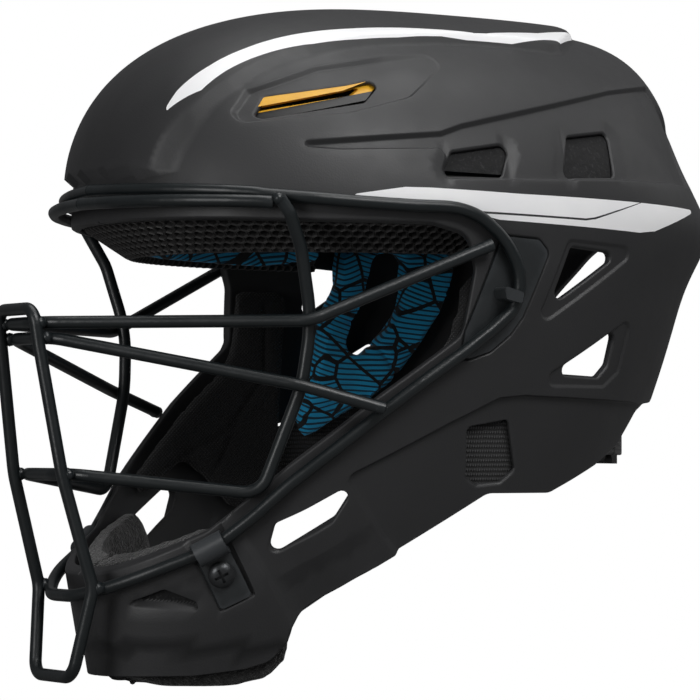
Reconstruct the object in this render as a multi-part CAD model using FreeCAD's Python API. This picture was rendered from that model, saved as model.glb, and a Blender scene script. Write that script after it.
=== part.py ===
import FreeCAD, Part
import math
import os

# A catcher's helmet in its worn position: the face looks along -Y, the wearer's left is +X
# and +Z is up. The origin lies between the ears, where the line through them crosses the
# helmet's middle plane. All sizes are in millimetres.

V = FreeCAD.Vector
OUT = "parts"

# The moulded form: half width, reach to the front and rear, and the heights they belong to
HALF_WIDTH = 98.0
FRONT_REACH = 142.0
REAR_REACH = 116.0
REAR_LIP = 11.0
MIDDLE_Y = 8.0
WIDEST_Z = 28.0
CROWN_Z = 112.0
CHIN_Z = -146.0
SQUARENESS = 2.2
SIDE_CURVE = 1.93
FRONT_CURVE = 2.75
REAR_CURVE = 6.0
REAR_DRAFT = 0.09

# Wall, ridge and steps of the shell
WALL = 4.0
RIDGE_HEIGHT = 4.0
RECESS = 2.0
FIT_GAP = 0.3

# Cage
WIRE = 4.8
BEND = 60.0
BRIM_END = 71.0
BRIM_BAR_END = 76.3
BRIM_BAR_LIFT = 3.9
BRIM_STEPS = 6
WIRE_LIFT = WIRE / 2 + 0.7

# Pads and liner
LINER_THICK = 9.0
COMFORT_THICK = 8.0
PAD_GAP = 0.4

# Plates, clips and screws
CLIP_THICK = 2.0
SCREW_HEAD = 10.0
SCREW_SHANK = 4.8
NUT_FLANGE = 13.0

# Thicknesses of the pads, and the heights between which the brow pad's foot slopes
BROW_THICK = 22.0
BROW_RIM_Z = 27.0
BROW_FOOT_Z = 9.0
CHIN_PAD_THICK = 12.0
EAR_PAD_THICK = 11.0
JAW_PAD_THICK = 8.0
PIN = 4.0
INSERT_WALL = 2.0

# Back plate and its elastic straps
NAPE_HALF = 41.0
NAPE_BACK = 100.0
NAPE_END = 79.0
NAPE_LOW = -66.0
NAPE_HIGH = -34.0
NAPE_SLOTS = 13.0
PLATE_WALL = 2.5
STRAP_WIDTH = 25.0
STRAP_THICK = 1.6
STRAP_CLEAR = 0.8
STRAP_WRAP = [64, 54, 45, 36]
ANCHOR_WALL = 2.0


def reaches(z, off=0.0):
    """Half width, front reach and rear reach of the form at height z, grown by off."""
    rise = max(0.0, z - WIDEST_Z)
    drop = max(0.0, WIDEST_Z - z)
    s = min(1.0, rise / (CROWN_Z - WIDEST_Z + off))
    width = (HALF_WIDTH + off) * (1 - s ** SIDE_CURVE) ** (1 / SIDE_CURVE)
    width -= 0.41 * drop ** 2 / (drop + 116)
    front = (FRONT_REACH + off) * (1 - s ** FRONT_CURVE) ** (1 / FRONT_CURVE)
    front += 0.06 * min(drop, 135.0) - 0.15 * max(0.0, drop - 135.0)
    rear = (REAR_REACH + off - REAR_DRAFT * rise) * (1 - s ** REAR_CURVE) ** (1 / REAR_CURVE)
    rear -= 0.512 * drop ** 2 / (drop + 68)
    rear += REAR_LIP * math.exp(-((z - WIDEST_Z) / 18.0) ** 2)
    return width, front, rear


def side_x(y, z, off=0.0):
    """How far out the form stands at a point of the side view."""
    width, front, rear = reaches(z, off)
    reach = front if y < MIDDLE_Y else rear
    share = min(1.0, abs(y - MIDDLE_Y) / reach)
    return width * (1 - share ** SQUARENESS) ** (1 / SQUARENESS)


def front_y(x, z, off=0.0):
    """The form's front at a point of the front view."""
    width, front, _ = reaches(z, off)
    return MIDDLE_Y - front * (1 - min(1.0, abs(x) / width) ** SQUARENESS) ** (1 / SQUARENESS)


def section(z, off):
    """One closed horizontal section of the form."""
    width, front, rear = reaches(z, off)
    count = 24
    points = []
    for i in range(count):
        turn = 2 * math.pi * i / count
        c, s = math.cos(turn), math.sin(turn)
        x = math.copysign(width * abs(s) ** (2 / SQUARENESS), s)
        reach = rear if c > 0 else front
        y = MIDDLE_Y + math.copysign(reach * abs(c) ** (2 / SQUARENESS), c)
        points.append(V(x, y, z))
    curve = Part.BSplineCurve()
    curve.interpolate(Points=points, PeriodicFlag=True, Parameters=[float(i) for i in range(count + 1)])
    return Part.Wire(curve.toShape())


FORMS = {}


def form(off=0.0):
    """The closed solid of the helmet's outside, grown by off."""
    if off not in FORMS:
        low = [CHIN_Z - 14.0, -130.0, -100.0, -70.0, -40.0, -15.0, 8.0, WIDEST_Z]
        high = [0.12, 0.26, 0.42, 0.57, 0.70, 0.81, 0.90, 0.955, 0.985, 0.998]
        levels = low + [WIDEST_Z + (CROWN_Z - WIDEST_Z + off) * s for s in high]
        FORMS[off] = Part.makeLoft([section(z, off) for z in levels], True, False)
    return FORMS[off]


HALVES = {}


def half_form(off=0.0):
    """The wearer's left half of the form, which most pieces are cut from."""
    if off not in HALVES:
        side = Part.makeBox(200, 400, 400, V(0, -200, -200))
        HALVES[off] = form(off).common(side)
    return HALVES[off]


def path(points, radius, closed=False):
    """Straight runs joined by tangent arcs; radius is one value or one for each point."""
    count = len(points)
    radii = radius if isinstance(radius, (list, tuple)) else [radius] * count
    if not closed:
        radii = [0.0] + list(radii)[1:-1] + [0.0]
    corners = []
    for i, point in enumerate(points):
        before, after = points[i - 1], points[(i + 1) % count]
        a, b = (before - point), (after - point)
        if radii[i] <= 0 or (not closed and i in (0, count - 1)):
            corners.append((point, None, point))
            continue
        la, lb = a.Length, b.Length
        a.normalize()
        b.normalize()
        half = a.getAngle(b) / 2
        if half > math.pi / 2 - 0.01:
            corners.append((point, None, point))
            continue
        reach = min(radii[i] / math.tan(half), 0.48 * la, 0.48 * lb)
        bend = reach * math.tan(half)
        middle = a + b
        middle.normalize()
        middle = point + middle * (bend / math.sin(half) - bend)
        corners.append((point + a * reach, middle, point + b * reach))
    edges = []
    last = count if closed else count - 1
    for i in range(count):
        start, middle, end = corners[i]
        if middle is not None:
            edges.append(Part.Arc(start, middle, end).toShape())
        if i < last:
            follow = corners[(i + 1) % count][0]
            if (follow - end).Length > 1e-4:
                edges.append(Part.LineSegment(end, follow).toShape())
    return Part.Wire(edges)


def prism(points, axis, low, high, radius=0.0):
    """A closed outline pushed along X, Y or Z; its points hold the other two axes in order."""
    place = {
        "X": lambda a, b: V(low, a, b),
        "Y": lambda a, b: V(a, low, b),
        "Z": lambda a, b: V(a, b, low),
    }[axis]
    push = {"X": V(1, 0, 0), "Y": V(0, 1, 0), "Z": V(0, 0, 1)}[axis]
    face = Part.Face(path([place(a, b) for a, b in points], radius, True))
    return face.extrude(push * (high - low))


def mirrored(shape):
    return shape.mirror(V(0, 0, 0), V(1, 0, 0))


def both(shape):
    """The shape and its mirror image on the other side."""
    return Part.makeCompound([shape, mirrored(shape)])


def one(shape):
    """The single solid of a result, or the compound if there are more."""
    solids = shape.Solids
    return solids[0] if len(solids) == 1 else Part.makeCompound(solids)


NODES = {}


def keep(name, shape):
    NODES[name] = shape


# Side-view outlines, as (y, z)
EYE_PORT = [
    (-170, 28), (-94, 25.5), (-42, 25), (-27, 21), (-23.5, 8), (-26.5, -17), (-33, -22),
    (-58, -41), (-88, -67), (-101, -80), (-114, -93), (-140, -107), (-170, -112),
]
UNDERSIDE = [
    (-170, -148.8), (-112, -148.6), (-94, -146.3), (-85, -143.5), (-79.5, -136), (-78.5, -127),
    (-50, -106), (-5, -79), (25, -79),
    (50, -68), (64, -60), (76, -46), (92, -40), (150, -40), (150, -180), (-170, -180),
]
STRUT_WINDOW = [(-91, -90), (-61, -72), (-69, -88), (-93, -104)]
CHANNEL = [
    (-94, 54), (-34, 59.5), (-24, 63), (11, 71), (60, 82), (98, 88), (112, 70), (108, 46),
    (53, 45), (18, 43.5), (-38, 42), (-32, 54), (-74, 52.5),
]
CHANNEL_WINDOWS = [
    [(-31, 53.5), (-4, 58), (-11, 44), (-37, 43.5)],
    [(25, 62), (50, 65.5), (46, 46.5), (19, 45)],
]
SCOOP = [(-109, 62), (-98, 75), (-71, 85), (-43, 90), (-12, 93), (-41, 74), (-67, 67)]
SCOOP_VENT = [(-100, 67), (-94, 73.5), (-63, 79), (-47, 83), (-60, 73.5), (-97, 66.5)]
REAR_VENTS = [
    [(20, 18), (46, 16), (11, -6)],
    [(48, -13), (46, -28), (41, -33), (15, -32)],
]
VENT_BEVELS = [
    [(18, 20), (56, 18), (4, -15)],
    [(56, -8), (52, -30), (44, -36), (6, -36)],
]
LOWER_STEP = [
    (-66, -71), (-28, -51), (-7, -41), (4, -40), (68, -42), (150, -42), (150, -120),
    (-20, -120), (-47, -95),
]
STRAP_SLOT = [(-19, -53), (-1, -50), (6, -70), (0, -75), (-11, -76), (-16, -73)]
CHIN_VENT = [(-134, -119), (-124, -113.5), (-114, -118), (-113, -121)]
CLIP_SEAT = [(-120.5, -94), (-105, -121.3), (-94.2, -115.2), (-109.5, -87)]
CLIP = [(-117.5, -96.5), (-105, -120.5), (-95, -115), (-108.5, -91.5)]
CLIP_HOOK = (-112.3, -97.2)
CLIP_WIDTH = 12.0
CLIP_SCREW = (-106.5, -107)
EAR_SEAT = [
    (-13, 21), (4, 20), (9, 15), (-1, -10), (-6, -17), (-14, -23.5), (-27, -28), (-26, -16),
]
EAR_PLATE = [
    (-12.6, 20.5), (3.8, 19.5), (8.4, 14.8), (-1.5, -9.8), (-6.4, -16.6), (-14, -23),
    (-26, -27), (-25.5, -16),
]
EAR_HOOK = [(-15.5, 1.5), (-6.5, -1), (-7, -5), (-14, -3.5)]
EAR_PINS = [(1, 15), (-7, -12)]
INSERT_FRAME = [(-107, 64), (-98, 76.5), (-62, 82.5), (-40, 86), (-56, 72), (-97, 63)]
INSERT_OPENING = [(-98, 67.4), (-62, 75.4), (-54, 78), (-60, 74), (-96, 66.8)]
INSERT_LIP = [(-98.4, 68), (-93.4, 72.6), (-63, 78.0), (-50, 81.4), (-54, 79.4), (-64, 75.6)]
INSERT_CLEARANCE = [(-109, 63), (-99, 78), (-62, 84), (-36, 88), (-54, 70.5), (-98, 61.5)]
LINER_SIDE = [(-150, 48), (-150, 130), (140, 130), (140, 34), (60, 30), (0, 44)]
LINER_SPLIT = 4.0
BROW_SIDE = [(-150, 5), (-150, 47), (-2, 43.5), (12, 40), (12, 16), (3, 9), (-20, 5)]
BROW_COMFORT_SIDE = [(-150, 12), (-150, 41), (0, 40), (8, 36), (8, 15), (-20, 11)]
CROWN_PAD_SIDE = [(-84, 68), (-84, 130), (86, 130), (86, 68)]
EAR_PAD_RIGHT = [
    (80, 28), (79, 16), (71, -2), (60, -19), (49, -32), (37, -41), (19, -50), (4, -57), (-2, -52),
    (11, -22), (17, -2), (25, 12), (27, 28),
]
EAR_HOLE_RIGHT = [(45, 24), (57, 24), (53, 2), (46, -8), (33, -20), (28, -17), (33, -6), (40, 7)]
EAR_PAD_LEFT = [
    (84, 28), (84, 6), (76, -4), (66, 2), (62, 19), (20, 20), (15, -4), (22, -34), (30, -44),
    (19, -50), (4, -57), (-2, -52), (6, -22), (8, -2), (12, 12), (14, 28),
]
CHIN_PAD_SIDE = [
    (-170, -146), (-170, -108), (-132, -101), (-112, -90), (-92, -82), (-86, -92), (-84, -106),
    (-73, -126), (-73, -141), (-80, -149), (-94, -152), (-117, -152), (-128, -147),
]
JAW_PAD = [
    (-23, 8), (-25, -6), (-28.5, -18), (-35, -26.5), (-60, -45.5), (-88, -69.5), (-90, -75),
    (-84, -80), (-60, -66), (-48, -74), (-40, -84), (-30, -87), (-8, -74), (-6, -54), (0, -22),
    (3, -2), (5, 8),
]
ANCHOR_SIDE = [(-41, -77), (-24, -77), (-24, -49), (-38, -49)]
ANCHOR_POSTS = [(-32, -70), (-32, -56)]
STRAP_RUN = [(-39, -76.5), (-22, -76), (-8, -75.5), (8, -73), (25, -69), (38, -65)]

# The opening at the nape in the rear view, as (x, z)
REAR_PORT = [(-46, -60), (-46, 2), (-36, 28), (36, 28), (46, 2), (46, -60)]

# The left edge of the crown's ridge in the top view, as (y, x)
RIDGE_SIDE = [
    (-140, 22), (-129, 35), (-116, 43), (-101, 47), (-69, 50), (-20, 51), (46, 50), (68, 28),
]


def pockets(outlines, inward, depth, corner):
    """Tools that sink side-view outlines into the left side of the shell by depth."""
    return [prism(outline, "X", inward, 130, corner).cut(half_form(-depth)) for outline in outlines]


def through(outlines, corner):
    """Tools that cut side-view outlines through the left wall of the shell."""
    return [prism(outline, "X", 30, 130, corner) for outline in outlines]


def make_shell():
    plan = [(x, y) for y, x in RIDGE_SIDE] + [(0, 74), (-40, 74), (-40, -140)]
    ridge = prism(plan, "Z", 46, 140, 10.0).common(half_form(RIDGE_HEIGHT))
    shell = half_form(0.0).fuse(ridge)
    tools = [half_form(-WALL)]
    tools.append(prism(EYE_PORT, "X", -130, 130, 9.0))
    tools.append(prism(UNDERSIDE, "X", -130, 130, 8.0))
    tools.append(prism(REAR_PORT + [(46, -200), (-46, -200)], "Y", 20, 160, 14.0))
    tools += through([STRUT_WINDOW], 4.0)
    tools += through(CHANNEL_WINDOWS + REAR_VENTS, 2.5)
    tools += through([SCOOP_VENT, STRAP_SLOT], 2.0)
    tools += pockets([CHANNEL, SCOOP, LOWER_STEP], 34, RECESS, 3.0)
    tools += pockets(VENT_BEVELS, 40, RECESS / 2, 3.0)
    tools += pockets([CHIN_VENT, CLIP_SEAT], 12, RECESS, 0.8)
    tools += pockets([EAR_SEAT], 60, RECESS, 3.0)
    base, direction = clip_frame()
    screw_hole = Part.makeCylinder(SCREW_SHANK / 2 + FIT_GAP, 30, V(0, 0, -15))
    tools.append(placed(screw_hole, base, direction))
    for y, z in EAR_PINS:
        hole = Part.makeCylinder(PIN / 2 + 0.1, 20, V(0, 0, -10))
        tools.append(placed(hole, on_form(y, z, 0.0), outward(y, z)))
    half = one(shell.cut(tools))
    return one(half.fuse(mirrored(half)))


def on_form(y, z, off):
    """A point on the wearer's left side of the grown form."""
    return V(side_x(y, z, off), y, z)


def outward(y, z):
    """The form's outward direction on the left side."""
    step = 0.5
    slope_y = (side_x(y + step, z) - side_x(y - step, z)) / (2 * step)
    slope_z = (side_x(y, z + step) - side_x(y, z - step)) / (2 * step)
    normal = V(1, -slope_y, -slope_z)
    normal.normalize()
    return normal


def rod(points, bends, radius=WIRE / 2):
    """A round bar along a path that starts at the middle plane or at a cut end."""
    points = [V(*p) for p in points]
    spine = path(points, bends)
    ring = Part.Wire(Part.makeCircle(radius, points[0], points[1] - points[0]))
    return spine.makePipeShell([ring], True, True)


def whole_rod(points, bends):
    """A bar's left half joined to its mirror image at the middle plane."""
    half = rod(points, bends)
    return one(half.fuse(mirrored(half)).removeSplitter())


def brim_run(z_front, z_side, reach, off):
    """Points of a bar that goes round the brim from the middle plane out to x = reach."""
    run = []
    for step in range(BRIM_STEPS + 1):
        share = step / BRIM_STEPS
        x = reach * math.sin(share * math.pi / 2)
        z = z_front + (z_side - z_front) * share
        run.append((x, front_y(x, z, off), z))
    return run


RAIL = [
    (-84, 33), (-70, 31.8), (-50, 30.8), (-34, 30.6), (-24, 27.5), (-13, 18.5), (-7, 9), (-5.5, 1),
    (-7.5, -7), (-17, -15.5), (-28, -24), (-43, -35), (-58, -47), (-73, -60), (-88, -73.2),
    (-99, -85), (-112, -97.5),
]


def perimeter_points():
    """Points of the outermost bar, from the middle of the brim to the middle of the chin."""
    points = brim_run(38.8, 34.6, BRIM_END, WIRE_LIFT)
    points += [tuple(on_form(y, z, WIRE_LIFT)) for y, z in RAIL]
    return points + [(34, -133, -107.5), (22.3, -142.1, -112.4), (9, -149, -115.5), (0, -149, -115.5)]


def make_cage():
    keep("cage_perimeter_bar", whole_rod(perimeter_points(), BEND))
    brim = brim_run(33.6, 31.2, BRIM_BAR_END, WIRE_LIFT + BRIM_BAR_LIFT)
    keep("cage_brim_bar", whole_rod(brim, BEND))
    side = [
        (0, -157.5, -69.5), (9, -157.5, -69.5), (20, -154.3, -69.6), (61, -97.5, -76.8),
        (69.7, -84.7, -36.2), (72.8, -82.5, -12.3), (77, -89.5, 14.6), (79.8, -96, 27.1),
        (79, -100.3, 33.3),
    ]
    keep("cage_side_bar", whole_rod(side, [0, 10, 20, 9, 60, 60, 20, 6, 0]))
    upper = [
        (0, -166.6, -12.6), (8, -166.6, -12.6), (15, -162.6, -12.5), (77.6, -85.9, -12.3),
        (100.9, -19.8, 16.9),
    ]
    keep("cage_upper_bar", whole_rod(upper, [0, 10, 20, 14, 0]))
    middle = [
        (0, -164, -18.2), (9, -164, -18.2), (16, -160.6, -18.4), (74.4, -88.4, -36.2),
        (87.3, -59.5, -44.9),
    ]
    keep("cage_middle_bar", whole_rod(middle, [0, 10, 20, 30, 0]))
    nose = [
        (0, -168.9, -7.3), (15, -168.9, -7.3), (15.6, -167.2, -20), (20, -159.5, -69.6),
        (22.3, -147.5, -112.4), (15.4, -152.6, -145.9), (0, -152.6, -145.9),
    ]
    keep("cage_nose_bar", whole_rod(nose, [0, 8, 20, 60, 12, 7, 0]))


def placed(shape, base, direction):
    """A shape built along +Z, set on base and turned to a direction."""
    shape = shape.copy()
    shape.Placement = FreeCAD.Placement(base, FreeCAD.Rotation(V(0, 0, 1), direction))
    return shape


def screw(length):
    """A round-head cross-recess machine screw; its head stands on the plane z = 0."""
    rise = SCREW_HEAD * 0.26
    radius = SCREW_HEAD / 2
    rim = 0.8
    dome = Part.Arc(V(radius, 0, rim), V(radius * 0.66, 0, rise * 0.86), V(0, 0, rise)).toShape()
    edges = [
        Part.LineSegment(V(0, 0, 0), V(radius, 0, 0)).toShape(),
        Part.LineSegment(V(radius, 0, 0), V(radius, 0, rim)).toShape(),
        dome,
        Part.LineSegment(V(0, 0, rise), V(0, 0, 0)).toShape(),
    ]
    head = Part.Face(Part.Wire(edges)).revolve(V(0, 0, 0), V(0, 0, 1), 360)
    slot = Part.makeBox(radius * 1.1, 1.1, rise, V(-radius * 0.55, -0.55, rise * 0.4))
    cross = slot.fuse(slot.copy().rotate(V(0, 0, 0), V(0, 0, 1), 90))
    shank = Part.makeCylinder(SCREW_SHANK / 2, length, V(0, 0, -length))
    return one(head.cut(cross).fuse(shank))


def t_nut(length):
    """The flanged nut behind the wall; it opens towards +Z and starts at z = 0."""
    flange = Part.makeCylinder(NUT_FLANGE / 2, 1.2, V(0, 0, -1.2))
    barrel = Part.makeCylinder(SCREW_SHANK / 2 + 1.4, length, V(0, 0, -length))
    bore = Part.makeCylinder(SCREW_SHANK / 2 + 0.1, length + 1, V(0, 0, -length - 0.5))
    return one(flange.fuse(barrel).cut(bore))


def clip_frame():
    y, z = CLIP_SCREW
    return on_form(y, z, 0.0), outward(y, z)


def make_clips(rail):
    base, direction = clip_frame()
    top = FIT_GAP
    plate = prism(CLIP, "X", 12, 120, 1.5).common(half_form(top)).cut(half_form(-RECESS + FIT_GAP))
    here = on_form(*CLIP_HOOK, WIRE_LIFT)
    ahead = V(34, -133, -107.5) - on_form(-99, -85, WIRE_LIFT)
    ahead.normalize()
    start = here - ahead * (CLIP_WIDTH / 2)
    roll = Part.makeCylinder(WIRE / 2 + 0.25 + CLIP_THICK, CLIP_WIDTH, start, ahead)
    hook = roll.cut(half_form(0.1))
    hole = placed(Part.makeCylinder(SCREW_SHANK / 2 + FIT_GAP, 30, V(0, 0, -15)), base, direction)
    clip = one(plate.fuse(hook).cut(rail).cut(hole))
    keep("chin_clip_left", clip)
    keep("chin_clip_right", mirrored(clip))
    fastener = placed(screw(WALL + 3.5), base + direction * (top + 0.25), direction)
    keep("clip_screws", both(fastener))
    nut = placed(t_nut(3.2), base - direction * (WALL + FIT_GAP), direction)
    keep("clip_nuts", both(nut))


def make_ear_plates(rail):
    plate = prism(EAR_PLATE, "X", 60, 130, 3.0).common(half_form(0.0)).cut(half_form(-RECESS + FIT_GAP))
    hook_top = WIRE_LIFT + WIRE / 2 + CLIP_THICK
    hook = prism(EAR_HOOK, "X", 60, 130, 1.0).common(half_form(hook_top)).cut(half_form(-0.5))
    plate = plate.fuse(hook).cut(rail)
    for y, z in EAR_PINS:
        pin = Part.makeCylinder(PIN / 2, WALL - 0.5, V(0, 0, -WALL + 0.2))
        plate = plate.fuse(placed(pin, on_form(y, z, 0.0), outward(y, z)))
    plate = one(plate)
    keep("ear_plate_left", plate)
    keep("ear_plate_right", mirrored(plate))


def make_vent_inserts():
    """A coloured frame behind each scoop vent, with a lip that fills the vent's upper half."""
    back = prism(INSERT_FRAME, "X", 30, 120, 3.0).common(half_form(-WALL - FIT_GAP))
    back = back.cut(half_form(-WALL - FIT_GAP - INSERT_WALL))
    back = back.cut(prism(INSERT_OPENING, "X", 30, 120, 1.0))
    lip = prism(INSERT_LIP, "X", 30, 120, 1.0).common(half_form(-RECESS - 0.4)).cut(half_form(-WALL - 1.0))
    insert = one(back.fuse(lip))
    keep("vent_insert_left", insert)
    keep("vent_insert_right", mirrored(insert))


def make_liner():
    """The hard impact foam inside the crown, in a front and a rear half."""
    outside = half_form(-WALL - FIT_GAP)
    inside = half_form(-WALL - FIT_GAP - LINER_THICK)
    half = outside.cut(inside).common(prism(LINER_SIDE, "X", -1, 130, 4.0))
    half = half.cut(prism(INSERT_CLEARANCE, "X", 30, 120, 3.0))
    for name, low, high in (("front_liner", -200, LINER_SPLIT), ("rear_liner", LINER_SPLIT + PAD_GAP, 200)):
        piece = half.common(Part.makeBox(200, high - low, 300, V(0, low, -100)))
        keep(name, one(piece.fuse(mirrored(piece))))


def band(outline, outer, inner, corner):
    """A pad that follows the inside of the shell over both sides of the head."""
    half = half_form(-outer).cut(half_form(-inner)).common(prism(outline, "X", -1, 130, corner))
    return one(half.fuse(mirrored(half)))


def side_pad(outline, hole, thick):
    """A cushion on the inside of the left wall, with its edges drawn in towards its face."""
    back = WALL + PAD_GAP
    pad = prism(outline, "X", 30, 130, 5.0).common(half_form(-back)).cut(half_form(-back - thick * 0.6))
    face = prism(drawn_in(outline, 3.0), "X", 30, 130, 4.0)
    face = face.common(half_form(-back - thick * 0.6)).cut(half_form(-back - thick))
    pad = pad.fuse(face)
    if hole:
        pad = pad.cut(prism(hole, "X", 30, 130, 4.0))
    return one(pad)


def drawn_in(outline, inset):
    """The outline pulled towards its middle by about inset."""
    a = sum(p[0] for p in outline) / len(outline)
    b = sum(p[1] for p in outline) / len(outline)
    drawn = []
    for p, q in outline:
        reach = math.hypot(p - a, q - b)
        share = (reach - inset) / reach
        drawn.append((a + (p - a) * share, b + (q - b) * share))
    return drawn


def make_pads():
    inner = WALL + 2 * FIT_GAP + LINER_THICK
    funnel = Part.makeLoft([section(BROW_RIM_Z, -3.0), section(BROW_FOOT_Z, -WALL - BROW_THICK)], True)
    room = funnel.fuse(Part.makeBox(400, 400, 100, V(-200, -200, BROW_RIM_Z - 0.01)))
    brow = band(BROW_SIDE, WALL + FIT_GAP, WALL + FIT_GAP + BROW_THICK, 4.0)
    keep("brow_pad", one(brow.common(room)))
    face = WALL + 2 * FIT_GAP + BROW_THICK
    keep("brow_comfort_pad", band(BROW_COMFORT_SIDE, face, face + COMFORT_THICK * 0.6, 3.0))
    keep("crown_pad", band(CROWN_PAD_SIDE, inner, inner + COMFORT_THICK, 4.0))
    left = side_pad(EAR_PAD_LEFT, None, EAR_PAD_THICK)
    right = side_pad(EAR_PAD_RIGHT, EAR_HOLE_RIGHT, EAR_PAD_THICK)
    keep("ear_pad_left", one(left.cut(strap_room())))
    keep("ear_pad_right", mirrored(one(right.cut(strap_room()))))
    jaw = one(side_pad(JAW_PAD, None, JAW_PAD_THICK).cut(strap_room()).cut(anchor_room()))
    keep("jaw_pad_left", jaw)
    keep("jaw_pad_right", mirrored(jaw))
    chin = half_form(-WALL - PAD_GAP).cut(half_form(-WALL - PAD_GAP - CHIN_PAD_THICK))
    chin = chin.common(prism(CHIN_PAD_SIDE, "X", -1, 130, 6.0))
    base, direction = clip_frame()
    nut_room = Part.makeCylinder(NUT_FLANGE / 2 + PAD_GAP, 8.0, V(0, 0, -WALL - 4.5))
    chin = chin.cut(placed(nut_room, base, direction))
    keep("chin_pad", one(chin.fuse(mirrored(chin))))


def curved_slab(half_width, back_y, end_y, wall, low, high):
    """An upright slab bent round the nape, between heights low and high."""
    outer = [V(-half_width, end_y, low), V(0, back_y, low), V(half_width, end_y, low)]
    inner = [point - V(0, wall, 0) for point in reversed(outer)]
    edges = [
        Part.Arc(*outer).toShape(),
        Part.LineSegment(outer[2], inner[0]).toShape(),
        Part.Arc(*inner).toShape(),
        Part.LineSegment(inner[2], outer[0]).toShape(),
    ]
    return Part.Face(Part.Wire(edges)).extrude(V(0, 0, high - low))


def make_back_plate():
    slab = curved_slab(NAPE_HALF, NAPE_BACK, NAPE_END, PLATE_WALL, NAPE_LOW, NAPE_HIGH)
    outline = [
        (-NAPE_HALF, NAPE_LOW + 7), (-NAPE_HALF + 12, NAPE_LOW), (NAPE_HALF - 12, NAPE_LOW),
        (NAPE_HALF, NAPE_LOW + 7), (NAPE_HALF, NAPE_HIGH - 3), (14, NAPE_HIGH), (-14, NAPE_HIGH),
        (-NAPE_HALF, NAPE_HIGH - 3),
    ]
    plate = slab.common(prism(outline, "Y", 0, 160, 4.0))
    middle = (NAPE_LOW + NAPE_HIGH) / 2
    for x in (-NAPE_SLOTS, 0, NAPE_SLOTS):
        left, right, low, high = x - 2.5, x + 2.5, middle - 8, middle + 8
        slot = [(left, low), (right, low), (right, high), (left, high)]
        plate = plate.cut(prism(slot, "Y", 0, 160, 2.4))
    keep("back_plate", one(plate))
    rest = PLATE_WALL + FIT_GAP
    back_y, end_y = NAPE_BACK - rest, NAPE_END - rest + 1.0
    pad = curved_slab(NAPE_HALF - 3, back_y, end_y, COMFORT_THICK, NAPE_LOW - 1, NAPE_HIGH + 1)
    cushion = [(x * 0.93, z) for x, z in outline]
    keep("back_plate_pad", one(pad.common(prism(cushion, "Y", 0, 160, 5.0))))


def strap_sections(outer, inner, margin):
    """Upright four-sided sections of the strap between two depths behind the outside.

    The first ones follow the shell's inside, the last ones wrap round the back plate's end.
    """
    sections = []
    for y, low in STRAP_RUN:
        high = low + STRAP_WIDTH + margin
        low = low - margin
        places = [(low, outer), (low, inner), (high, inner), (high, outer)]
        corners = [on_form(y, z, -depth) for z, depth in places]
        sections.append(Part.makePolygon(corners + corners[:1]))
    return sections


def plate_wrap(outer, inner):
    """The strap's last sections, over the outside of the back plate's end."""
    sag = NAPE_BACK - NAPE_END
    bend = (NAPE_HALF ** 2 + sag ** 2) / (2 * sag)
    centre = NAPE_BACK - bend
    low = (NAPE_LOW + NAPE_HIGH - STRAP_WIDTH) / 2
    sections = []
    for turn in STRAP_WRAP:
        c, s = math.cos(math.radians(turn)), math.sin(math.radians(turn))
        corners = []
        high = low + STRAP_WIDTH
        for reach, z in ((outer, low), (inner, low), (inner, high), (outer, high)):
            corners.append(V((bend + reach) * s, centre + (bend + reach) * c, z))
        sections.append(Part.makePolygon(corners + corners[:1]))
    return sections


def strap_room():
    """The space that the strap needs behind a pad."""
    return Part.makeLoft(strap_sections(WALL - 1.0, WALL + 2 * STRAP_CLEAR + STRAP_THICK, 1.0), True, True)


def anchor_room():
    """The space that the strap's anchor needs behind a pad."""
    outline = [(-44, -80), (-21, -80), (-21, -46), (-41, -46)]
    depth = WALL + 2 * STRAP_CLEAR + STRAP_THICK + ANCHOR_WALL + PAD_GAP
    return prism(outline, "X", 30, 130, 3.0).cut(half_form(-depth))


def make_straps():
    """The elastic on each side, from the anchor inside the jaw to the back plate's end."""
    depth = WALL + STRAP_CLEAR
    sections = strap_sections(depth, depth + STRAP_THICK, 0.0)
    sections += plate_wrap(FIT_GAP + STRAP_THICK, FIT_GAP)
    strap = Part.makeLoft(sections, True, True)
    anchor_top = WALL + 2 * STRAP_CLEAR + STRAP_THICK
    anchor = prism(ANCHOR_SIDE, "X", 30, 130, 3.0).common(half_form(-anchor_top))
    anchor = anchor.cut(half_form(-anchor_top - ANCHOR_WALL))
    for y, z in ANCHOR_POSTS:
        base, direction = on_form(y, z, -WALL - FIT_GAP), outward(y, z)
        length = STRAP_THICK + 3 * STRAP_CLEAR
        post = Part.makeCylinder(PIN / 2, length, V(0, 0, -length))
        room = Part.makeCylinder(PIN / 2 + FIT_GAP, 20, V(0, 0, -10))
        anchor = anchor.fuse(placed(post, base, direction))
        strap = strap.cut(placed(room, base, direction))
    anchor = one(anchor)
    strap = one(strap)
    keep("strap_anchor_left", anchor)
    keep("strap_anchor_right", mirrored(anchor))
    keep("side_strap_left", strap)
    keep("side_strap_right", mirrored(strap))


os.makedirs(OUT, exist_ok=True)
make_cage()
rail_room = rod(perimeter_points()[BRIM_STEPS + 3:-2], BEND, WIRE / 2 + 0.25)
make_clips(rail_room)
make_ear_plates(rail_room)
make_vent_inserts()
make_liner()
make_pads()
make_back_plate()
make_straps()
keep("shell", make_shell())

for name, shape in NODES.items():
    shape.exportStep(os.path.join(OUT, name + ".step"))
    print(name, shape.ShapeType, len(shape.Solids), round(shape.Volume), shape.isValid())
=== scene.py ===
import math

import bpy
import numpy as np
from mathutils import Matrix, Vector
from mathutils.geometry import delaunay_2d_cdt


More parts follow.
